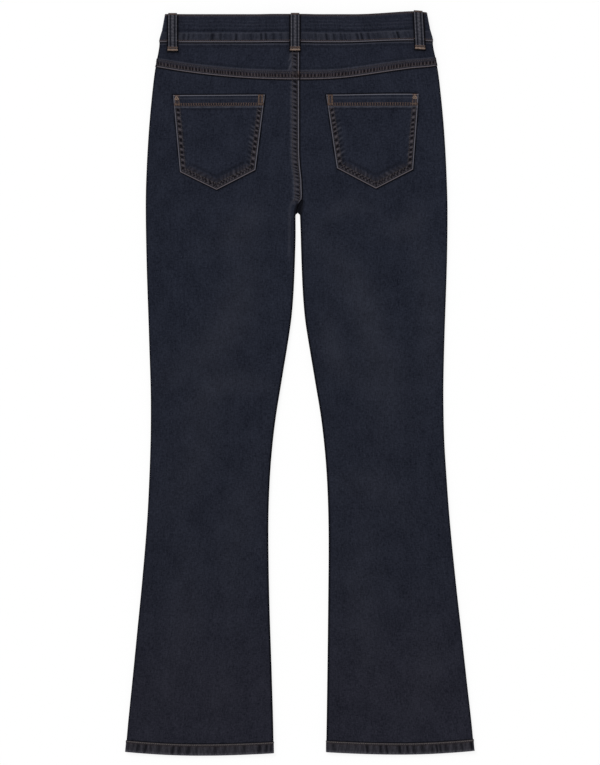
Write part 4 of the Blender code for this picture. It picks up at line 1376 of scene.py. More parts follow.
level = np.broadcast_to(LOOP_LEVELS[:, None], (len(LOOP_LEVELS), len(LOOP_ACROSS)))
for name in BACK_LOOPS:
    x = loop_middle(name, level) + LOOP_ACROSS * LOOP_WIDTH / 2
    add_loop(name, x, level, under_loop(name, x, level))
for side, hand in HANDS.items():
    x = np.broadcast_to(CENTRE_X + hand * FRONT_LOOP_X + LOOP_ACROSS * LOOP_WIDTH / 2, level.shape)
    down = level + front_dip(x)
    under = np.where(level <= BAND_HEIGHT, BAND_LIFT, front_floor(x, down))
    add_loop(f"belt_loop_front_{side}", x, down, under, facing_down=True)


# %% [markdown]
# ## Back pockets
#
# A patch pocket has its edges folded under and stitched down, so it is thicker all round than in the
# middle. Its top is hemmed with two rows of thread close together and slanting ribs of thread between
# them. Its sides pucker like the other seams, and the puckers run a little way in from the stitching.

# %% Marks on the pockets
def pocket_grid(side, across, down_part):
    """Places on a back pocket, from its outer edge to its inner edge and from its top to its foot."""
    columns = POCKET_CORNERS[side]
    outer_top, inner_top, inner_foot, tip, outer_foot = np.stack([columns["x"], columns["down"]], axis=-1)
    across = across[..., None]
    top = between(outer_top, inner_top, across)
    outer_half = between(outer_foot, tip, np.clip(across * 2, 0.0, 1.0))
    inner_half = between(tip, inner_foot, np.clip(across * 2 - 1, 0.0, 1.0))
    foot = np.where(across < 0.5, outer_half, inner_half)
    place_on_pocket = between(top, foot, down_part[..., None])
    return place_on_pocket[..., 0], place_on_pocket[..., 1]


TOP_ROWS = (0.0124, 0.0162)
POCKET_SEEDS = {"left": 71, "right": 81}
# Across the pocket's top the dark stripes are painted shade: under the folded edge, between the rows of
# thread and under the fold line.
TOP_STRIPES = stripe_table(
    (*FOLD_EDGE, 0.90, 0.00, 0.00, EDGE_SOFT),
    (0.0017, 0.0030, 0.00, 0.40, 0.00, STRIPE_SOFT),
    (0.0019, 0.0031, 0.00, 0.20, 0.00, STRIPE_SOFT),
    (0.0043, 0.0061, 0.10, 0.00, 0.00, STRIPE_SOFT),
    (TOP_ROWS[0] - 0.0006, TOP_ROWS[1] + 0.0004, 0.05, 0.00, 1.00, STRIPE_SOFT),
    (0.0131, 0.0149, 0.00, 0.55, 0.00, STRIPE_SOFT),
    (0.0174, 0.0188, 0.36, 0.00, 0.00, EDGE_SOFT),
    (0.0202, 0.0226, 0.00, 0.36, 0.00, 0.0007),
)
SIDE_PITS = {"start": 0.0026, "end": 0.0074, "worn": 0.46, "dark": 1.60, "warm": 0.25}
FOOT_PITS = {"start": 0.0026, "end": 0.0062, "worn": 0.36, "dark": 1.60}
INNER_FOOT_PITS = {"start": 0.0054, "end": 0.0090, "worn": 0.36, "dark": 1.50}
STROKE_REACH = {"side": 0.0130, "rest": 0.0172}


def mark_pocket(side, x, down):
    """The marks of a back pocket: round its sewn edges, on its side and foot, and along its hemmed top."""
    marks = Marks(x)
    seed = POCKET_SEEDS[side]
    side_hollows = rhythm(0.60, 0.0082, seed, uneven=0.34, shallowest=0.60)
    foot_hollows = rhythm(0.60, 0.0056, seed + 1, uneven=0.42, shallowest=0.50)
    strokes = rhythm(0.60, 0.0070, seed + 2, uneven=0.45, shallowest=0.45)
    top_edge, *sewn_edges = pocket_edges(side)
    depth_in = []
    runs = []
    start = 0.0
    for at, way, length, into in sewn_edges:
        depth_in.append(distance_past(x, down, at, into))
        runs.append(start + distance_past(x, down, at, way))
        start += length
    nearest = np.argmin(depth_in, axis=0)[None]
    to_edge = np.take_along_axis(np.array(depth_in), nearest, axis=0)[0]
    run = np.take_along_axis(np.array(runs), nearest, axis=0)[0]
    at, _way, _length, into = top_edge
    from_top = distance_past(x, down, at, into)
    above_rows = 1.0 - smoothstep(from_top, 0.0150, 0.0165)
    below_top = smoothstep(from_top, 0.0175, 0.0200)
    folded = np.maximum(
        1.0 - smoothstep(to_edge, POCKET_BAND, POCKET_BAND + FELL_EDGE),
        1.0 - smoothstep(from_top, POCKET_HEM, POCKET_HEM + FELL_EDGE),
    )
    marks.rise = POCKET_RISE * folded
    at_foot = ((nearest[0] == 1) | (nearest[0] == 2)).astype(float)
    on_side = below_top * (1.0 - at_foot)
    on_foot = below_top * at_foot
    marks.stripes(from_top, TOP_STRIPES)
    marks.stripe(to_edge, *FOLD_EDGE, worn=0.84, warm=0.15 + 0.45 * at_foot, soft=EDGE_SOFT)
    # Painted shade: a dark stripe inside the sewn edges, another inside the fold at the foot, and the dark
    # between the strokes.
    marks.stripe(to_edge, 0.0017, 0.0035, dark=0.62 - 0.30 * at_foot, where=below_top)
    marks.stripe(to_edge, 0.0018, 0.0100, worn=0.04, warm=0.50, where=below_top)
    marks.stripe(to_edge, 0.0018, 0.0094, worn=0.14, warm=1.0, where=above_rows)
    marks.stripe(to_edge, 0.0090, 0.0145, worn=0.07, warm=0.50, where=on_foot)
    marks.stripe(to_edge, 0.0168, 0.0198, dark=0.50, soft=0.0022, where=on_foot)
    marks.pits(to_edge, side_hollows(run + 0.30 * to_edge), **SIDE_PITS, where=on_side)
    marks.pits(to_edge, foot_hollows(run + 0.45 * to_edge), **FOOT_PITS, where=on_foot)
    marks.pits(to_edge, foot_hollows(run + 0.0028 - 0.45 * to_edge), **INNER_FOOT_PITS, where=on_foot)
    reach = np.where(nearest[0] == 3, STROKE_REACH["side"], STROKE_REACH["rest"])
    fades = smoothstep(to_edge, 0.0068, 0.0084) * (1.0 - smoothstep(to_edge, reach - 0.0050, reach))
    fades = fades * below_top * np.maximum(at_foot, 0.45 + 0.55 * smoothstep(from_top, 0.025, 0.055))
    stroke = strokes(run + 0.45 * to_edge)
    marks.seam(0.0002 * stroke * fades, 0.24 * stroke**2 * fades, 0.60 * (1.0 - stroke) ** 2 * fades)
    return marks


# %% Make the pockets
near_edge = np.array([0.0, 0.0042, 0.0084, 0.0128, 0.0180])
POCKET_PARTS = np.concatenate([near_edge, np.linspace(0.0255, 0.9745, 120), 1.0 - near_edge[::-1]])
for side in HANDS:
    x, down = pocket_grid(side, *np.meshgrid(POCKET_PARTS, POCKET_PARTS))
    marks = mark_pocket(side, x, down)
    low = cloth_top(x, down) + SEAM_GAP
    outer = place(x, down, low + CLOTH + marks.rise)
    inner = place(x, down, low)
    name = f"back_pocket_{side}"
    cloth[name] = add_wall(name + "_patch", outer, inner, (x, -down), marks)


# %% [markdown]
# ## Denim
#
# Denim is woven with dyed threads lengthwise and pale ones across. The dyed ones lie on top in a
# diagonal order, three over and one under, so the cloth is dark with a fine slanted rib. The threads
# vary a little in thickness and dye, which shows as faint upright streaks. The material is built from
# those facts, on the place in the weave that each point carries, so it follows the cloth round its edges.

# %% Short calls for materials and nodes
def set_inputs(node, inputs):
    """Sets the inputs of a node to values, or joins them to outputs."""
    for name, value in inputs.items():
        if isinstance(value, bpy.types.NodeSocket):
            node.id_data.links.new(value, node.inputs[name])
        else:
            node.inputs[name].default_value = value


def add_node(tree, kind, inputs=None, **settings):
    """A node with its settings and its inputs."""
    made = tree.nodes.new(kind)
    for name, value in settings.items():
        setattr(made, name, value)
    set_inputs(made, inputs or {})
    return made


def new_material(name):
    """A material, with its tree and its shader."""
    material = bpy.data.materials.new(name)
    material.use_nodes = True
    return material, material.node_tree, material.node_tree.nodes["Principled BSDF"]


def calc(tree, operation, first, second=0.0, third=0.0):
    """One sum of two or three numbers or outputs."""
    made = add_node(tree, "ShaderNodeMath", {0: first, 1: second, 2: third}, operation=operation)
    return made.outputs[0]


def calc_vector(tree, operation, inputs):
    """The outputs of one sum of vectors."""
    return add_node(tree, "ShaderNodeVectorMath", inputs, operation=operation).outputs


def mix_colours(tree, part, first, second):
    made = add_node(tree, "ShaderNodeMix", {0: part, 6: first, 7: second}, data_type="RGBA")
    return made.outputs[2]


def opaque(colour):
    return (*colour, 1.0)


def threads(tree, place_in_weave, across, along, detail=2.0):
    """Noise that is stretched along the threads: across and along are its sizes in metres."""
    scaled = calc_vector(tree, "MULTIPLY", {0: place_in_weave, 1: (1 / across, 1 / along, 0.0)})
    noise = add_node(tree, "ShaderNodeTexNoise", {"Vector": scaled[0], "Scale": 1.0, "Detail": detail})
    return noise.outputs["Fac"]


def read_mark(tree, mark):
    return add_node(tree, "ShaderNodeAttribute", attribute_name=mark).outputs["Fac"]


# %% The denim itself
TWILL_ACROSS = 0.0017
TWILL_DOWN = 0.0026
RIB_BENDS = 9.0
BROWNED = (0.128, 0.088, 0.076)
# Painted shade: the near-black colours that shadows and hollows are mixed towards, plain and where the
# thread is brown, and how the painted shadow beside an upper piece fades.
SHADE_COLOUR = (0.0022, 0.0022, 0.0038)
BROWN_SHADE_COLOUR = (0.0050, 0.0030, 0.0034)
SHADE_STRENGTH = 0.92
EDGE_SHADOW = {"From Min": 0.0012, "From Max": 0.0026, "To Min": 0.98, "To Max": 0.0}
WASH = (
    (0.04, (0.94, 0.965, 0.94)),
    (0.40, (0.88, 0.92, 0.89)),
    (0.82, (0.873, 0.87, 0.82)),
    (1.0, (0.98, 0.89, 0.81)),
)

# Each noise has its share in the depth of the dye, its size across and along the cloth, and its detail.
NOISES = {
    "yarn": (1.2, 0.0009, 0.0070),
    "slub": (0.45, 0.0030, 0.0400),
    "weft": (1.0, 0.0070, 0.0009),
    "grain": (1.2, 0.0026, 0.0030, 3.0),
    "patches": (0.7, 0.0300, 0.0340, 3.0),
}


def denim(name, dark, light, worn_colour):
    """Denim between two depths of dye, with a colour for where it is rubbed."""
    material, tree, shader = new_material(name)
    weave = add_node(tree, "ShaderNodeAttribute", attribute_name="weave").outputs["Vector"]
    place_parts = add_node(tree, "ShaderNodeSeparateXYZ", {"Vector": weave})
    worn, dark_mark, warm, beside = (read_mark(tree, mark) for mark in MARKS)
    noises = {kind: threads(tree, weave, *sizes) for kind, (_amount, *sizes) in NOISES.items()}
    yarn, slub = noises["yarn"], noises["slub"]
    ribs_per_metre = (math.tau / TWILL_ACROSS, math.tau / TWILL_DOWN, 0.0)
    slant = calc_vector(tree, "DOT_PRODUCT", {0: weave, 1: ribs_per_metre})["Value"]
    rib = calc(tree, "SINE", calc(tree, "MULTIPLY_ADD", slub, RIB_BENDS, slant))
    depth = 0.5
    for kind, (amount, *_sizes) in NOISES.items():
        depth = calc(tree, "MULTIPLY_ADD", calc(tree, "SUBTRACT", noises[kind], 0.5), amount, depth)
    depth = calc(tree, "MULTIPLY_ADD", rib, 0.10, depth)
    clamped = add_node(tree, "ShaderNodeClamp", {"Value": depth}).outputs[0]
    colour = mix_colours(tree, clamped, opaque(dark), opaque(light))
    down_the_cloth = calc(tree, "MULTIPLY", place_parts.outputs["Y"], -1.0)
    wash = add_node(tree, "ShaderNodeValToRGB", {"Fac": down_the_cloth})
    for _ in WASH[2:]:
        wash.color_ramp.elements.new(0.5)
    for stop, (down, tint) in zip(wash.color_ramp.elements, WASH):
        stop.position = down
        stop.color = opaque(tint)
    colour = calc_vector(tree, "MULTIPLY", {0: colour, 1: wash.outputs["Color"]})[0]
    rubbed = calc(tree, "MULTIPLY", worn, calc(tree, "MULTIPLY_ADD", yarn, 0.9, 0.5))
    rubbed = add_node(tree, "ShaderNodeClamp", {"Value": rubbed}).outputs[0]
    colour = mix_colours(tree, rubbed, colour, mix_colours(tree, warm, opaque(worn_colour), opaque(BROWNED)))
    # A painted shadow along the edge of each piece that lies on this one, and painted shade wherever the
    # dark mark asks for it.
    crease = add_node(tree, "ShaderNodeMapRange", {"Value": beside, **EDGE_SHADOW}).outputs[0]
    shade_amount = calc(tree, "MAXIMUM", crease, calc(tree, "MULTIPLY", dark_mark, SHADE_STRENGTH))
    colour = mix_colours(tree, shade_amount, colour, mix_colours(tree, warm, opaque(SHADE_COLOUR), opaque(BROWN_SHADE_COLOUR)))
    height = calc(tree, "MULTIPLY_ADD", rib, 0.35, yarn)
    bump = add_node(tree, "ShaderNodeBump", {"Strength": 0.5, "Distance": 0.00015, "Height": height})
    look = {
        "Base Color": colour,
        "Normal": bump.outputs["Normal"],
        "Roughness": calc(tree, "MULTIPLY_ADD", yarn, 0.12, 0.82),
        "Specular IOR Level": 0.035,
        "Sheen Weight": 0.03,
        "Sheen Roughness": 0.5,
    }
    set_inputs(shader, look)
    return material


# The hems and the belt loops are rubbed most, so their denim is the paler one.
FADED_NODES = ("hem_", "belt_loop_")
indigo = denim("indigo_denim", (0.0052, 0.0062, 0.0120), (0.0208, 0.0234, 0.0378), (0.122, 0.122, 0.146))
faded = denim("faded_denim", (0.0062, 0.0066, 0.0104), (0.0250, 0.0256, 0.0362), (0.112, 0.110, 0.128))
for node, piece in cloth.items():
    piece.data.materials.append(faded if node.startswith(FADED_NODES) else indigo)

# %% [markdown]
# ## Thread
#
# Topstitching is a row of short strands, each lying proud of the cloth and dipping into it at both ends.
# A row like that is a job for Geometry Nodes: one tree takes a line that lies on the cloth, puts points
# along it at the length of a stitch, and lays a strand at each. Turned across the line and set close
# together, the same strands make the bars that hold the belt loops and the pocket corners.


# %% Thread material
def thread(name, dark, light):
    """Cotton thread, with the twist of its plies."""
    material, tree, shader = new_material(name)
    spot = add_node(tree, "ShaderNodeTexCoord").outputs["Object"]
    tone = add_node(tree, "ShaderNodeTexNoise", {"Vector": spot, "Scale": 420.0, "Detail": 2.0})
    colour = mix_colours(tree, tone.outputs["Fac"], opaque(dark), opaque(light))
    twist = {"Vector": spot, "Scale": 900.0, "Distortion": 2.0}
    plies = add_node(tree, "ShaderNodeTexWave", twist, bands_direction="DIAGONAL").outputs["Fac"]
    bump = add_node(tree, "ShaderNodeBump", {"Strength": 0.4, "Distance": 0.0001, "Height": plies})
    set_inputs(shader, {"Base Color": colour, "Normal": bump.outputs["Normal"], "Roughness": 0.65})
    return material


tonal_thread = thread("tonal_thread", (0.016, 0.012, 0.012), (0.052, 0.040, 0.036))
brown_thread = thread("brown_thread", (0.026, 0.015, 0.012), (0.100, 0.058, 0.043))
beige_thread = thread("beige_thread", (0.046, 0.041, 0.035), (0.115, 0.102, 0.088))
rust_thread = thread("rust_thread", (0.012, 0.006, 0.004), (0.135, 0.076, 0.047))
tan_thread = thread("tan_thread", (0.075, 0.042, 0.030), (0.300, 0.215, 0.165))


# %% The tree that lays strands along a line
STRAND_SOCKETS = {
    "Line": "NodeSocketGeometry",
    "Pitch": "NodeSocketFloat",
    "Strand Length": "NodeSocketFloat",
    "Thickness": "NodeSocketFloat",
    "Slant": "NodeSocketFloat",
    "Unevenness": "NodeSocketFloat",
    "Seed": "NodeSocketInt",
    "Material": "NodeSocketMaterial",
}


def strand_tree():
    tree = bpy.data.node_groups.new("strands_along_a_line", "GeometryNodeTree")
    for name, kind in STRAND_SOCKETS.items():
        tree.interface.new_socket(name, in_out="INPUT", socket_type=kind)
    tree.interface.new_socket("Strands", in_out="OUTPUT", socket_type="NodeSocketGeometry")
    given = add_node(tree, "NodeGroupInput").outputs
    line = add_node(tree, "GeometryNodeMeshToCurve", {"Mesh": given["Line"]}).outputs[0]
    level = add_node(tree, "GeometryNodeSetCurveNormal", {"Curve": line}, mode="Z_UP").outputs[0]
    wanted = {"Curve": level, "Length": given["Pitch"]}
    spaced = add_node(tree, "GeometryNodeResampleCurve", wanted, mode="LENGTH").outputs[0]
    points = add_node(tree, "GeometryNodeCurveToPoints", {"Curve": spaced}, mode="EVALUATED").outputs
    index = add_node(tree, "GeometryNodeInputIndex").outputs[0]
    side = calc(tree, "MULTIPLY_ADD", calc(tree, "MODULO", index, 2.0), 2.0, -1.0)
    draw = {"Min": -1.0, "Max": 1.0, "Seed": given["Seed"]}
    wobble = add_node(tree, "FunctionNodeRandomValue", draw, data_type="FLOAT").outputs["Value"]
    uneven = calc(tree, "MULTIPLY", wobble, given["Unevenness"])
    angle = calc(tree, "ADD", calc(tree, "MULTIPLY", given["Slant"], side), uneven)
    forward = calc_vector(tree, "SCALE", {0: points["Tangent"], "Scale": calc(tree, "COSINE", angle)})
    sideways = calc_vector(tree, "SCALE", {0: points["Normal"], "Scale": calc(tree, "SINE", angle)})
    way = calc_vector(tree, "ADD", {0: forward[0], 1: sideways[0]})
    turned = add_node(tree, "FunctionNodeAlignRotationToVector", {"Vector": way[0]}, axis="X")
    ball = add_node(tree, "GeometryNodeMeshUVSphere", {"Segments": 6, "Rings": 4, "Radius": 0.5})
    longer = calc(tree, "MULTIPLY", given["Strand Length"], calc(tree, "MULTIPLY_ADD", uneven, 0.8, 1.0))
    thick = given["Thickness"]
    size = add_node(tree, "ShaderNodeCombineXYZ", {"X": longer, "Y": thick, "Z": thick})
    balls = {
        "Points": points[0],
        "Instance": ball.outputs[0],
        "Rotation": turned.outputs[0],
        "Scale": size.outputs[0],
    }
    laid = add_node(tree, "GeometryNodeInstanceOnPoints", balls)
    whole = add_node(tree, "GeometryNodeRealizeInstances", {0: laid.outputs[0]})
    smooth = add_node(tree, "GeometryNodeSetShadeSmooth", {0: whole.outputs[0]})
    paint = {"Geometry": smooth.outputs[0], "Material": given["Material"]}
    painted = add_node(tree, "GeometryNodeSetMaterial", paint)
    add_node(tree, "NodeGroupOutput", {0: painted.outputs[0]})
    return tree


STRANDS = strand_tree()

# %% Laying thread on a line of points
STITCH_PITCH = 0.0032
STITCH_LENGTH = 0.0030
STITCH_THICKNESS = 0.0007
STITCH_RISE = 0.00012
LINE_STEP = 0.0015
STRAIGHT_STITCH = {
    "Pitch": STITCH_PITCH,
    "Strand Length": STITCH_LENGTH,
    "Thickness": STITCH_THICKNESS,
    "Slant": 0.0,
    "Unevenness": 0.06,
}
thread_pieces = []


def add_strands(name, lines, material, seed, changed=None):
    """Strands along each line, made a plain mesh: straight stitches, unless some values are changed."""
    mesh = bpy.data.meshes.new(name + "_line")
    edges = []
    start = 0
    for line in lines:
        edges += [(step, step + 1) for step in range(start, start + len(line) - 1)]
        start += len(line)
    mesh.from_pydata(np.concatenate(lines), edges, [])
    carrier = add_to_scene(name + "_carrier", mesh)
    modifier = carrier.modifiers.new("strands", "NODES")
    modifier.node_group = STRANDS
    values = {**STRAIGHT_STITCH, "Seed": seed, "Material": material, **(changed or {})}
    for item in STRANDS.interface.items_tree:
        if item.in_out == "INPUT" and item.name in values:
            modifier[item.identifier] = values[item.name]
    graph = bpy.context.evaluated_depsgraph_get()
    strands = bpy.data.meshes.new_from_object(carrier.evaluated_get(graph))
    bpy.data.objects.remove(carrier, do_unlink=True)
    thread_pieces.append(add_to_scene(name, strands))
    print(f"{name}: {len(strands.polygons)} faces")


# %% [markdown]
# ## Rows of thread
#
# Each row is a line of points on the face of its piece: a set distance in from a folded edge, at the
# height that the piece has there. Most seams have a row close to the edge and another further in.

# %% Rows on the backs and the yokes
def row_on_back(hand, along, down, mark):
    """A line on the face of a back or a yoke."""
    x, _z = cloth_point(BACK, hand, along, down, 0.0)
    marks = mark(x, down, along, BACK.width(hand, down) - along)
    x, z = cloth_point(BACK, hand, along, down, -marks.rise - STITCH_RISE)
    return place(x, down, z)


SEAM_ROWS = (0.0030, 0.0098)
ROW_STARTS = 0.001
SEAT_ROW_ENDS = SEAT_FELL_END - 0.002
YOKE_ROW_STARTS = 0.0035
YOKE_ROW_ENDS = 0.003
YOKE_LEVEL = 0.085
YOKE_WIDTH_LEVEL = 0.09
LEFT = HANDS["left"]
SEAT_RUNS = (
    (mark_back("left"), YOKE_AT_CENTRE + ROW_STARTS, SEAT_ROW_ENDS),
    (mark_yoke("left"), BAND_HEIGHT + ROW_STARTS, YOKE_AT_CENTRE - ROW_STARTS),
)
seam_lines = []
for from_edge in SEAM_ROWS:
    for mark, start, end in SEAT_RUNS:
        down = np.array(steps(start, end, LINE_STEP))
        seam_lines.append(row_on_back(LEFT, BACK.width(LEFT, down) - from_edge, down, mark))
    for side, hand in HANDS.items():
        row_end = BACK.width(hand, YOKE_WIDTH_LEVEL) - YOKE_ROW_ENDS
        along = np.array(steps(YOKE_ROW_STARTS, row_end, LINE_STEP))
        x, _z = cloth_point(BACK, hand, along, np.full_like(along, YOKE_LEVEL), 0.0)
        seam_lines.append(row_on_back(hand, along, yoke_line(x) - from_edge, mark_yoke(side)))
add_strands("stitches_seams", seam_lines, tonal_thread, seed=1)

# %% Rows on the fronts
def row_on_front(hand, along, below):
    """A line on the face of a front: along gives its distance from the side rim at each level."""
    x = side_x(hand, 0.0) - hand * 0.05 * np.ones_like(below)
    for _ in range(SETTLE_ROUNDS):
        down = BAND_HEIGHT + front_dip(x) + below
        x, z = cloth_point(FRONT, hand, along(down), down, -STITCH_RISE)
    return place(x, down, z)


FLY_INSET = 0.0030
STRAIGHT_POINTS = 40
ARC_TRIM = 0.05
turns = np.linspace(ARC_TRIM, QUARTER - ARC_TRIM, 60)
front_rows = []
for from_edge in SEAM_ROWS:
    row_along = (SCOOP_WIDTH + from_edge) * np.cos(turns)
    row_below = (SCOOP_DEPTH + from_edge) * np.sin(turns)
    for hand in HANDS.values():
        front_rows.append(row_on_front(hand, lambda down, row_along=row_along: row_along, row_below))
from_centre = (FLY_WIDTH - FLY_INSET) * np.concatenate([np.ones(STRAIGHT_POINTS), np.cos(turns)])
straight_below = np.linspace(0.002, FLY_STRAIGHT, STRAIGHT_POINTS)
row_below = np.concatenate([straight_below, FLY_STRAIGHT + (FLY_CURVE - FLY_INSET) * np.sin(turns)])
front_rows.append(row_on_front(LEFT, lambda down: FRONT.width(LEFT, down) - from_centre, row_below))
add_strands("stitches_fronts", front_rows, tonal_thread, seed=11)

# %% Rows on the pockets
def line_on_pocket(side, points):
    """A line on the face of a back pocket, through places given by x and down."""
    x, down = (np.array(part) for part in zip(*points))
    rise = mark_pocket(side, x, down).rise
    return place(x, down, cloth_top(x, down) + SEAM_GAP + CLOTH + rise + STITCH_RISE)


def pocket_outline(side, inset, from_top):
    """The corners of a line round a pocket, this far in from its sewn edges and from its top."""
    insets = (from_top, inset, inset, inset, inset)
    lines = [(at + into * by, way) for (at, way, _length, into), by in zip(pocket_edges(side), insets)]
    found = []
    for (first_at, first_way), (second_at, second_way) in zip(lines, lines[1:] + lines[:1]):
        part = np.linalg.solve(np.stack([first_way, -second_way], axis=1), second_at - first_at)[0]
        found.append(first_at + first_way * part)
    return found


def spread(corners):
    """Points along the straight runs between corners."""
    points = []
    for first, second in zip(corners[:-1], corners[1:]):
        count = max(2, int(np.linalg.norm(second - first) / LINE_STEP))
        points += [between(first, second, part) for part in np.linspace(0.0, 1.0, count, endpoint=False)]
    return points + [corners[-1]]


def row_across(side, from_top):
    """A row from side to side of a pocket."""
    corners = pocket_outline(side, TOP_ROW_INSET, from_top)
    return line_on_pocket(side, spread([corners[-1], corners[0]]))


TOP_ROW_INSET = 0.0036
SIDE_ROWS = (0.0030, 0.0082)
SIDE_ROWS_START = 0.0030
TOP_STITCH = {"Pitch": 0.0037, "Strand Length": 0.0035}
RIB = {
    "Pitch": 0.0037,
    "Strand Length": 0.0042,
    "Thickness": 0.0013,
    "Slant": math.radians(86),
    "Unevenness": 0.05,
}
pocket_lines = []
for side in HANDS:
    outlines = [pocket_outline(side, inset, SIDE_ROWS_START) for inset in SIDE_ROWS]
    pocket_lines += [line_on_pocket(side, spread(outline)) for outline in outlines]
top_lines = [row_across(side, level) for side in HANDS for level in TOP_ROWS]
rib_lines = [row_across(side, sum(TOP_ROWS) / 2) for side in HANDS]
add_strands("stitches_pockets", pocket_lines, tonal_thread, seed=2)
add_strands("stitches_pocket_tops", top_lines, brown_thread, seed=3, changed=TOP_STITCH)
add_strands("ribs_pocket_tops", rib_lines, brown_thread, seed=9, changed=RIB)

# %% Rows on the waistband and the hems
BAND_ROW_LEVEL = BAND_HEIGHT - 0.0028
HEM_ROW = 0.0016
band_row_out = np.where(band_angle == 0.0, -STITCH_RISE, STITCH_RISE)
band_rows = []
for index in (int(np.argmin(np.abs(band_levels - BAND_ROW_LEVEL))), 1):
    row = band_outer[index].copy()
    row[:, 2] += band_row_out
    band_rows.append(row)
add_strands("stitches_band", band_rows, brown_thread, seed=4)
hem_lines = []
for hand in HANDS.values():
    level = np.full(len(hem_stations), HEM_TOP + HEM_ROW)
    x, z = hem_ring(hand, level, -STITCH_RISE)
    ring = place(x, level, z)
    hem_lines.append(np.concatenate([ring, ring[:1]]))
add_strands("stitches_hems", hem_lines, beige_thread, seed=5, changed={"Thickness": 0.0008})

# %% [markdown]
# ## Bars
#
# A bar tack is a few dozen strands side by side. One holds each end of a belt loop, and a pair stands at
# each top corner of a pocket. At the two outer corners the pair is short, because a knot of thread lies
# above it.

# %% Bars on the loops
BAR = {"Pitch": 0.00062, "Thickness": 0.00075, "Slant": math.radians(84), "Unevenness": 0.10}
ON_LOOP = SEAM_GAP + LOOP_CLOTH
FOOT_BAR = LOOP_FOOT - 0.0016
SHOULDER_BAR = LOOP_FOOT - 0.0050
TOP_BAR = 0.0004
LOW_BAR_RISE = 0.0001
BAR_REACH = LOOP_WIDTH / 2 + 0.0006


def add_bars(name, lines, length, material, seed):
    add_strands(name, lines, material, seed, changed={**BAR, "Strand Length": length})


loop_feet = []
loop_shoulders = []
loop_tops = []
across = np.array(steps(-BAR_REACH, BAR_REACH, 0.001))
for name, (top_x, _foot_x) in BACK_LOOPS.items():
    for lines, level in ((loop_feet, FOOT_BAR), (loop_shoulders, SHOULDER_BAR)):
        x = loop_middle(name, level) + across
        lines.append(place(x, level, under_loop(name, x, np.full_like(x, level)) + ON_LOOP + LOW_BAR_RISE))
    x = top_x + across[2:-2]
    loop_tops.append(place(x, TOP_BAR, under_loop(name, x, np.zeros_like(x)) + ON_LOOP))
add_bars("bars_loop_feet", loop_feet, 0.0036, tan_thread, seed=6)
add_bars("bars_loop_ends", loop_shoulders + loop_tops, 0.0030, brown_thread, seed=7)

# %% Bars at the top corners of the pockets
BOX_WIDTH = 0.0074
BOX_HEIGHT = 0.0150
LOW_BOX = 0.40
BOX_INSET = 0.0028
BOX_BELOW = 0.0008
BELOW_KNOT = 0.0078

# The ends of each bar are given as parts of the box's width and height.
BOX_LEGS = (((0.16, 0.0), (0.16, 0.72)), ((0.80, 0.0), (0.84, 0.72)))
BOX_FOOT = (((0.02, 0.88), (1.0, 0.88)),)
OUTER_CORNER = {side: int(np.argmax(np.abs(corners["x"][:2]))) for side, corners in POCKET_CORNERS.items()}
boxes = []
legs_below_knots = []
for side in HANDS:
    corner_x, corner_down = POCKET_CORNERS[side]["x"], POCKET_CORNERS[side]["down"]
    for corner in (0, 1):
        outer = corner == OUTER_CORNER[side]
        inward = np.sign(corner_x[1 - corner] - corner_x[corner])
        lower = BOX_BELOW + (BELOW_KNOT if outer else 0.0)
        at = np.array([corner_x[corner] + inward * BOX_INSET, corner_down[corner] + lower])
        size = np.array([inward * BOX_WIDTH, LOW_BOX * BOX_HEIGHT if outer else BOX_HEIGHT])
        for lines, bars in ((legs_below_knots if outer else boxes, BOX_LEGS), (boxes, BOX_FOOT)):
            lines += [line_on_pocket(side, spread([at + size * end for end in ends])) for ends in bars]
add_bars("bars_pocket_corners", boxes, 0.0033, rust_thread, seed=8)
add_bars("bars_below_knots", legs_below_knots, 0.0020, brown_thread, seed=12)

# %% The knots at the outer top corners of the pockets
KNOT_SCALE = 0.00102
KNOT_PLACES = {"left": (0.0054, 0.0052), "right": (-0.0056, 0.0046)}
KNOT_RISE = 0.0005
KNOT_CROSSING = 0.0004
KNOT_STRAND = {"Pitch": 0.0012, "Strand Length": 0.0024, "Thickness": 0.0012, "Unevenness": 0.20}
turn = np.linspace(0.0, 2.0 * math.pi, 61)
knot_across = KNOT_SCALE * (np.sin(turn) + 2.0 * np.sin(2.0 * turn))
knot_along = KNOT_SCALE * (np.cos(turn) - 2.0 * np.cos(2.0 * turn))
knot_lines = []
for side in HANDS:
    x = POCKET_CORNERS[side]["x"][OUTER_CORNER[side]] + KNOT_PLACES[side][0] + knot_across
    down = POCKET_CORNERS[side]["down"][OUTER_CORNER[side]] + KNOT_PLACES[side][1] + knot_along
    line = line_on_pocket(side, zip(x, down))
    line[:, 2] += KNOT_RISE + KNOT_CROSSING * np.sin(3.0 * turn)
    knot_lines.append(line)
add_strands("knots_pocket_corners", knot_lines, tan_thread, seed=10, changed=KNOT_STRAND)

# %% [markdown]
# ## Button
#
# The waist button is turned brass, aged brown. Its solid already has the shank button's form, so it stays
# and only gets its metal.

# %% Aged brass
brass, brass_tree, brass_shader = new_material("aged_brass")
spot = add_node(brass_tree, "ShaderNodeTexCoord").outputs["Object"]
tarnish = add_node(brass_tree, "ShaderNodeTexNoise", {"Vector": spot, "Scale": 900.0, "Detail": 4.0})
tarnish = tarnish.outputs["Fac"]
brass_look = {
    "Base Color": mix_colours(brass_tree, tarnish, (0.09, 0.055, 0.028, 1.0), (0.36, 0.24, 0.12, 1.0)),
    "Roughness": calc(brass_tree, "MULTIPLY_ADD", tarnish, -0.25, 0.50),
    "Metallic": 1.0,
}
set_inputs(brass_shader, brass_look)
nodes["waist_button"].data.materials.clear()
nodes["waist_button"].data.materials.append(brass)

# %% [markdown]
# ## What each piece is
#
# Every piece rides on the part's one body. A piece of cloth takes the place of its solid, and a table
# gives the size that it was cut to before it was sewn.

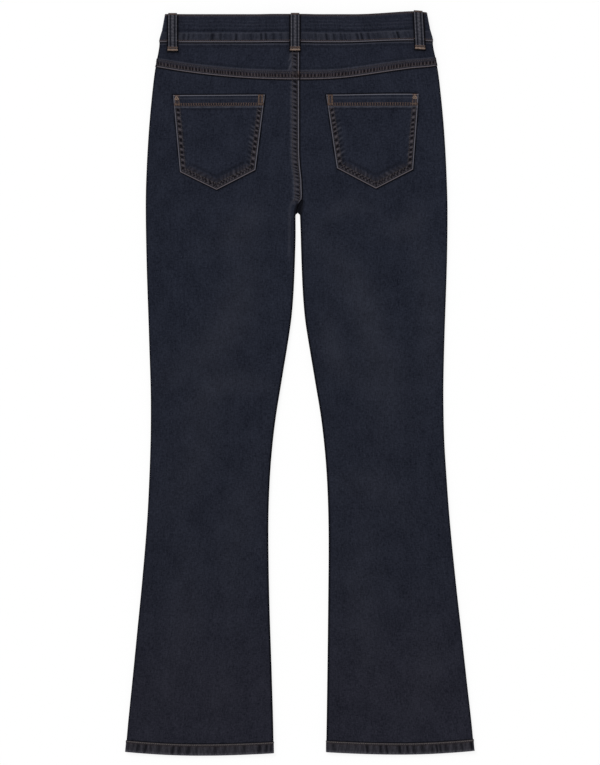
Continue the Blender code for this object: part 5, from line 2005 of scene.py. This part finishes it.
# %% Each sheet: its cut width and length, its area and what it rests on
CUTS = {
    "back_left": (0.266, 0.996, 0.2056, ["front_left_cloth"]),
    "back_right": (0.262, 0.996, 0.2020, ["front_right_cloth"]),
    "yoke_left": (0.218, 0.0565, 0.0110, ["front_left_cloth"]),
    "yoke_right": (0.211, 0.0575, 0.0105, ["front_right_cloth"]),
    "front_left": (0.258, 1.035, 0.2034, []),
    "front_right": (0.266, 1.035, 0.2070, []),
    "front_pocket_left": (0.092, 0.066, 0.0043, []),
    "front_pocket_right": (0.092, 0.066, 0.0043, []),
    "fly": (0.036, 0.135, 0.0047, []),
    "waistband": (0.884, 0.0417, 0.0368, ["belt_loop_front_left_strip"]),
    "back_pocket_left": (0.1365, 0.1415, 0.0156, ["back_left_cloth"]),
    "back_pocket_right": (0.1375, 0.1412, 0.0154, ["back_right_cloth"]),
    "hem_left": (0.450, 0.0172, 0.0077, []),
    "hem_right": (0.450, 0.0172, 0.0077, []),
    "belt_loop_back": (0.013, 0.056, 0.00072, ["waistband_cloth"]),
    "belt_loop_back_left": (0.013, 0.056, 0.00072, ["waistband_cloth"]),
    "belt_loop_back_right": (0.013, 0.056, 0.00072, ["waistband_cloth"]),
    "belt_loop_front_left": (0.013, 0.056, 0.00072, []),
    "belt_loop_front_right": (0.013, 0.056, 0.00072, []),
}

# %% Bodies, and the solids that the pieces stand for
for node in CUTS:
    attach(cloth[node], "root")
    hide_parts(node)
for piece in thread_pieces:
    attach(piece, "root")

# %% [markdown]
# ## Floor, light and camera
#
# The floor is plain and pale and the light is soft, from above and a little from the waist's left, so
# the puckers show and nothing throws a hard shadow. The camera looks straight down with a long lens.

# %% Floor
WHITE = (1.0, 1.0, 1.0, 1.0)
FLOOR_HALF = 4.0
FLOOR_Z = -0.0009
floor_mesh = bpy.data.meshes.new("floor")
floor_corners = [(x * FLOOR_HALF, y * FLOOR_HALF, FLOOR_Z) for x, y in ((-1, -1), (1, -1), (1, 1), (-1, 1))]
floor_mesh.from_pydata(floor_corners, [], [(0, 1, 2, 3)])
floor = add_to_scene("floor", floor_mesh)
paint, _tree, paint_shader = new_material("floor_paint")
glow = {"Emission Color": WHITE, "Emission Strength": 0.85}
set_inputs(paint_shader, {"Base Color": (0.12, 0.12, 0.12, 1.0), **glow, "Roughness": 0.9})
floor_mesh.materials.append(paint)

# %% Light
LAMP_PLACE = (-1.2, 1.5, 1.9)
world = bpy.data.worlds.new("studio")
bpy.context.scene.world = world
world.use_nodes = True
set_inputs(world.node_tree.nodes["Background"], {"Color": WHITE, "Strength": 0.72})
lamp_data = bpy.data.lights.new("softbox", "SUN")
lamp_data.angle = math.radians(25)
lamp_data.energy = 1.75
lamp = add_to_scene("softbox", lamp_data)
lamp.location = LAMP_PLACE
lamp.rotation_euler = (-lamp.location).to_track_quat("-Z", "Y").to_euler()
bpy.context.scene.view_settings.view_transform = "Standard"

# %% Camera
METRES_PER_PIXEL = 0.001485
PIXELS_HIGH = 765
CLOTH_LEVEL = 0.004
CAMERA_HEIGHT = 3.2
SENSOR = 36.0
FRAME_CENTRE = (0.0002, 0.0011)
camera_data = bpy.data.cameras.new("camera")
camera_data.sensor_width = SENSOR
camera_data.lens = SENSOR * (CAMERA_HEIGHT - CLOTH_LEVEL) / (PIXELS_HIGH * METRES_PER_PIXEL)
camera = add_to_scene("camera", camera_data)
camera.location = (*FRAME_CENTRE, CAMERA_HEIGHT)
bpy.context.scene.camera = camera
print(f"the lens is {camera_data.lens:.1f} mm")
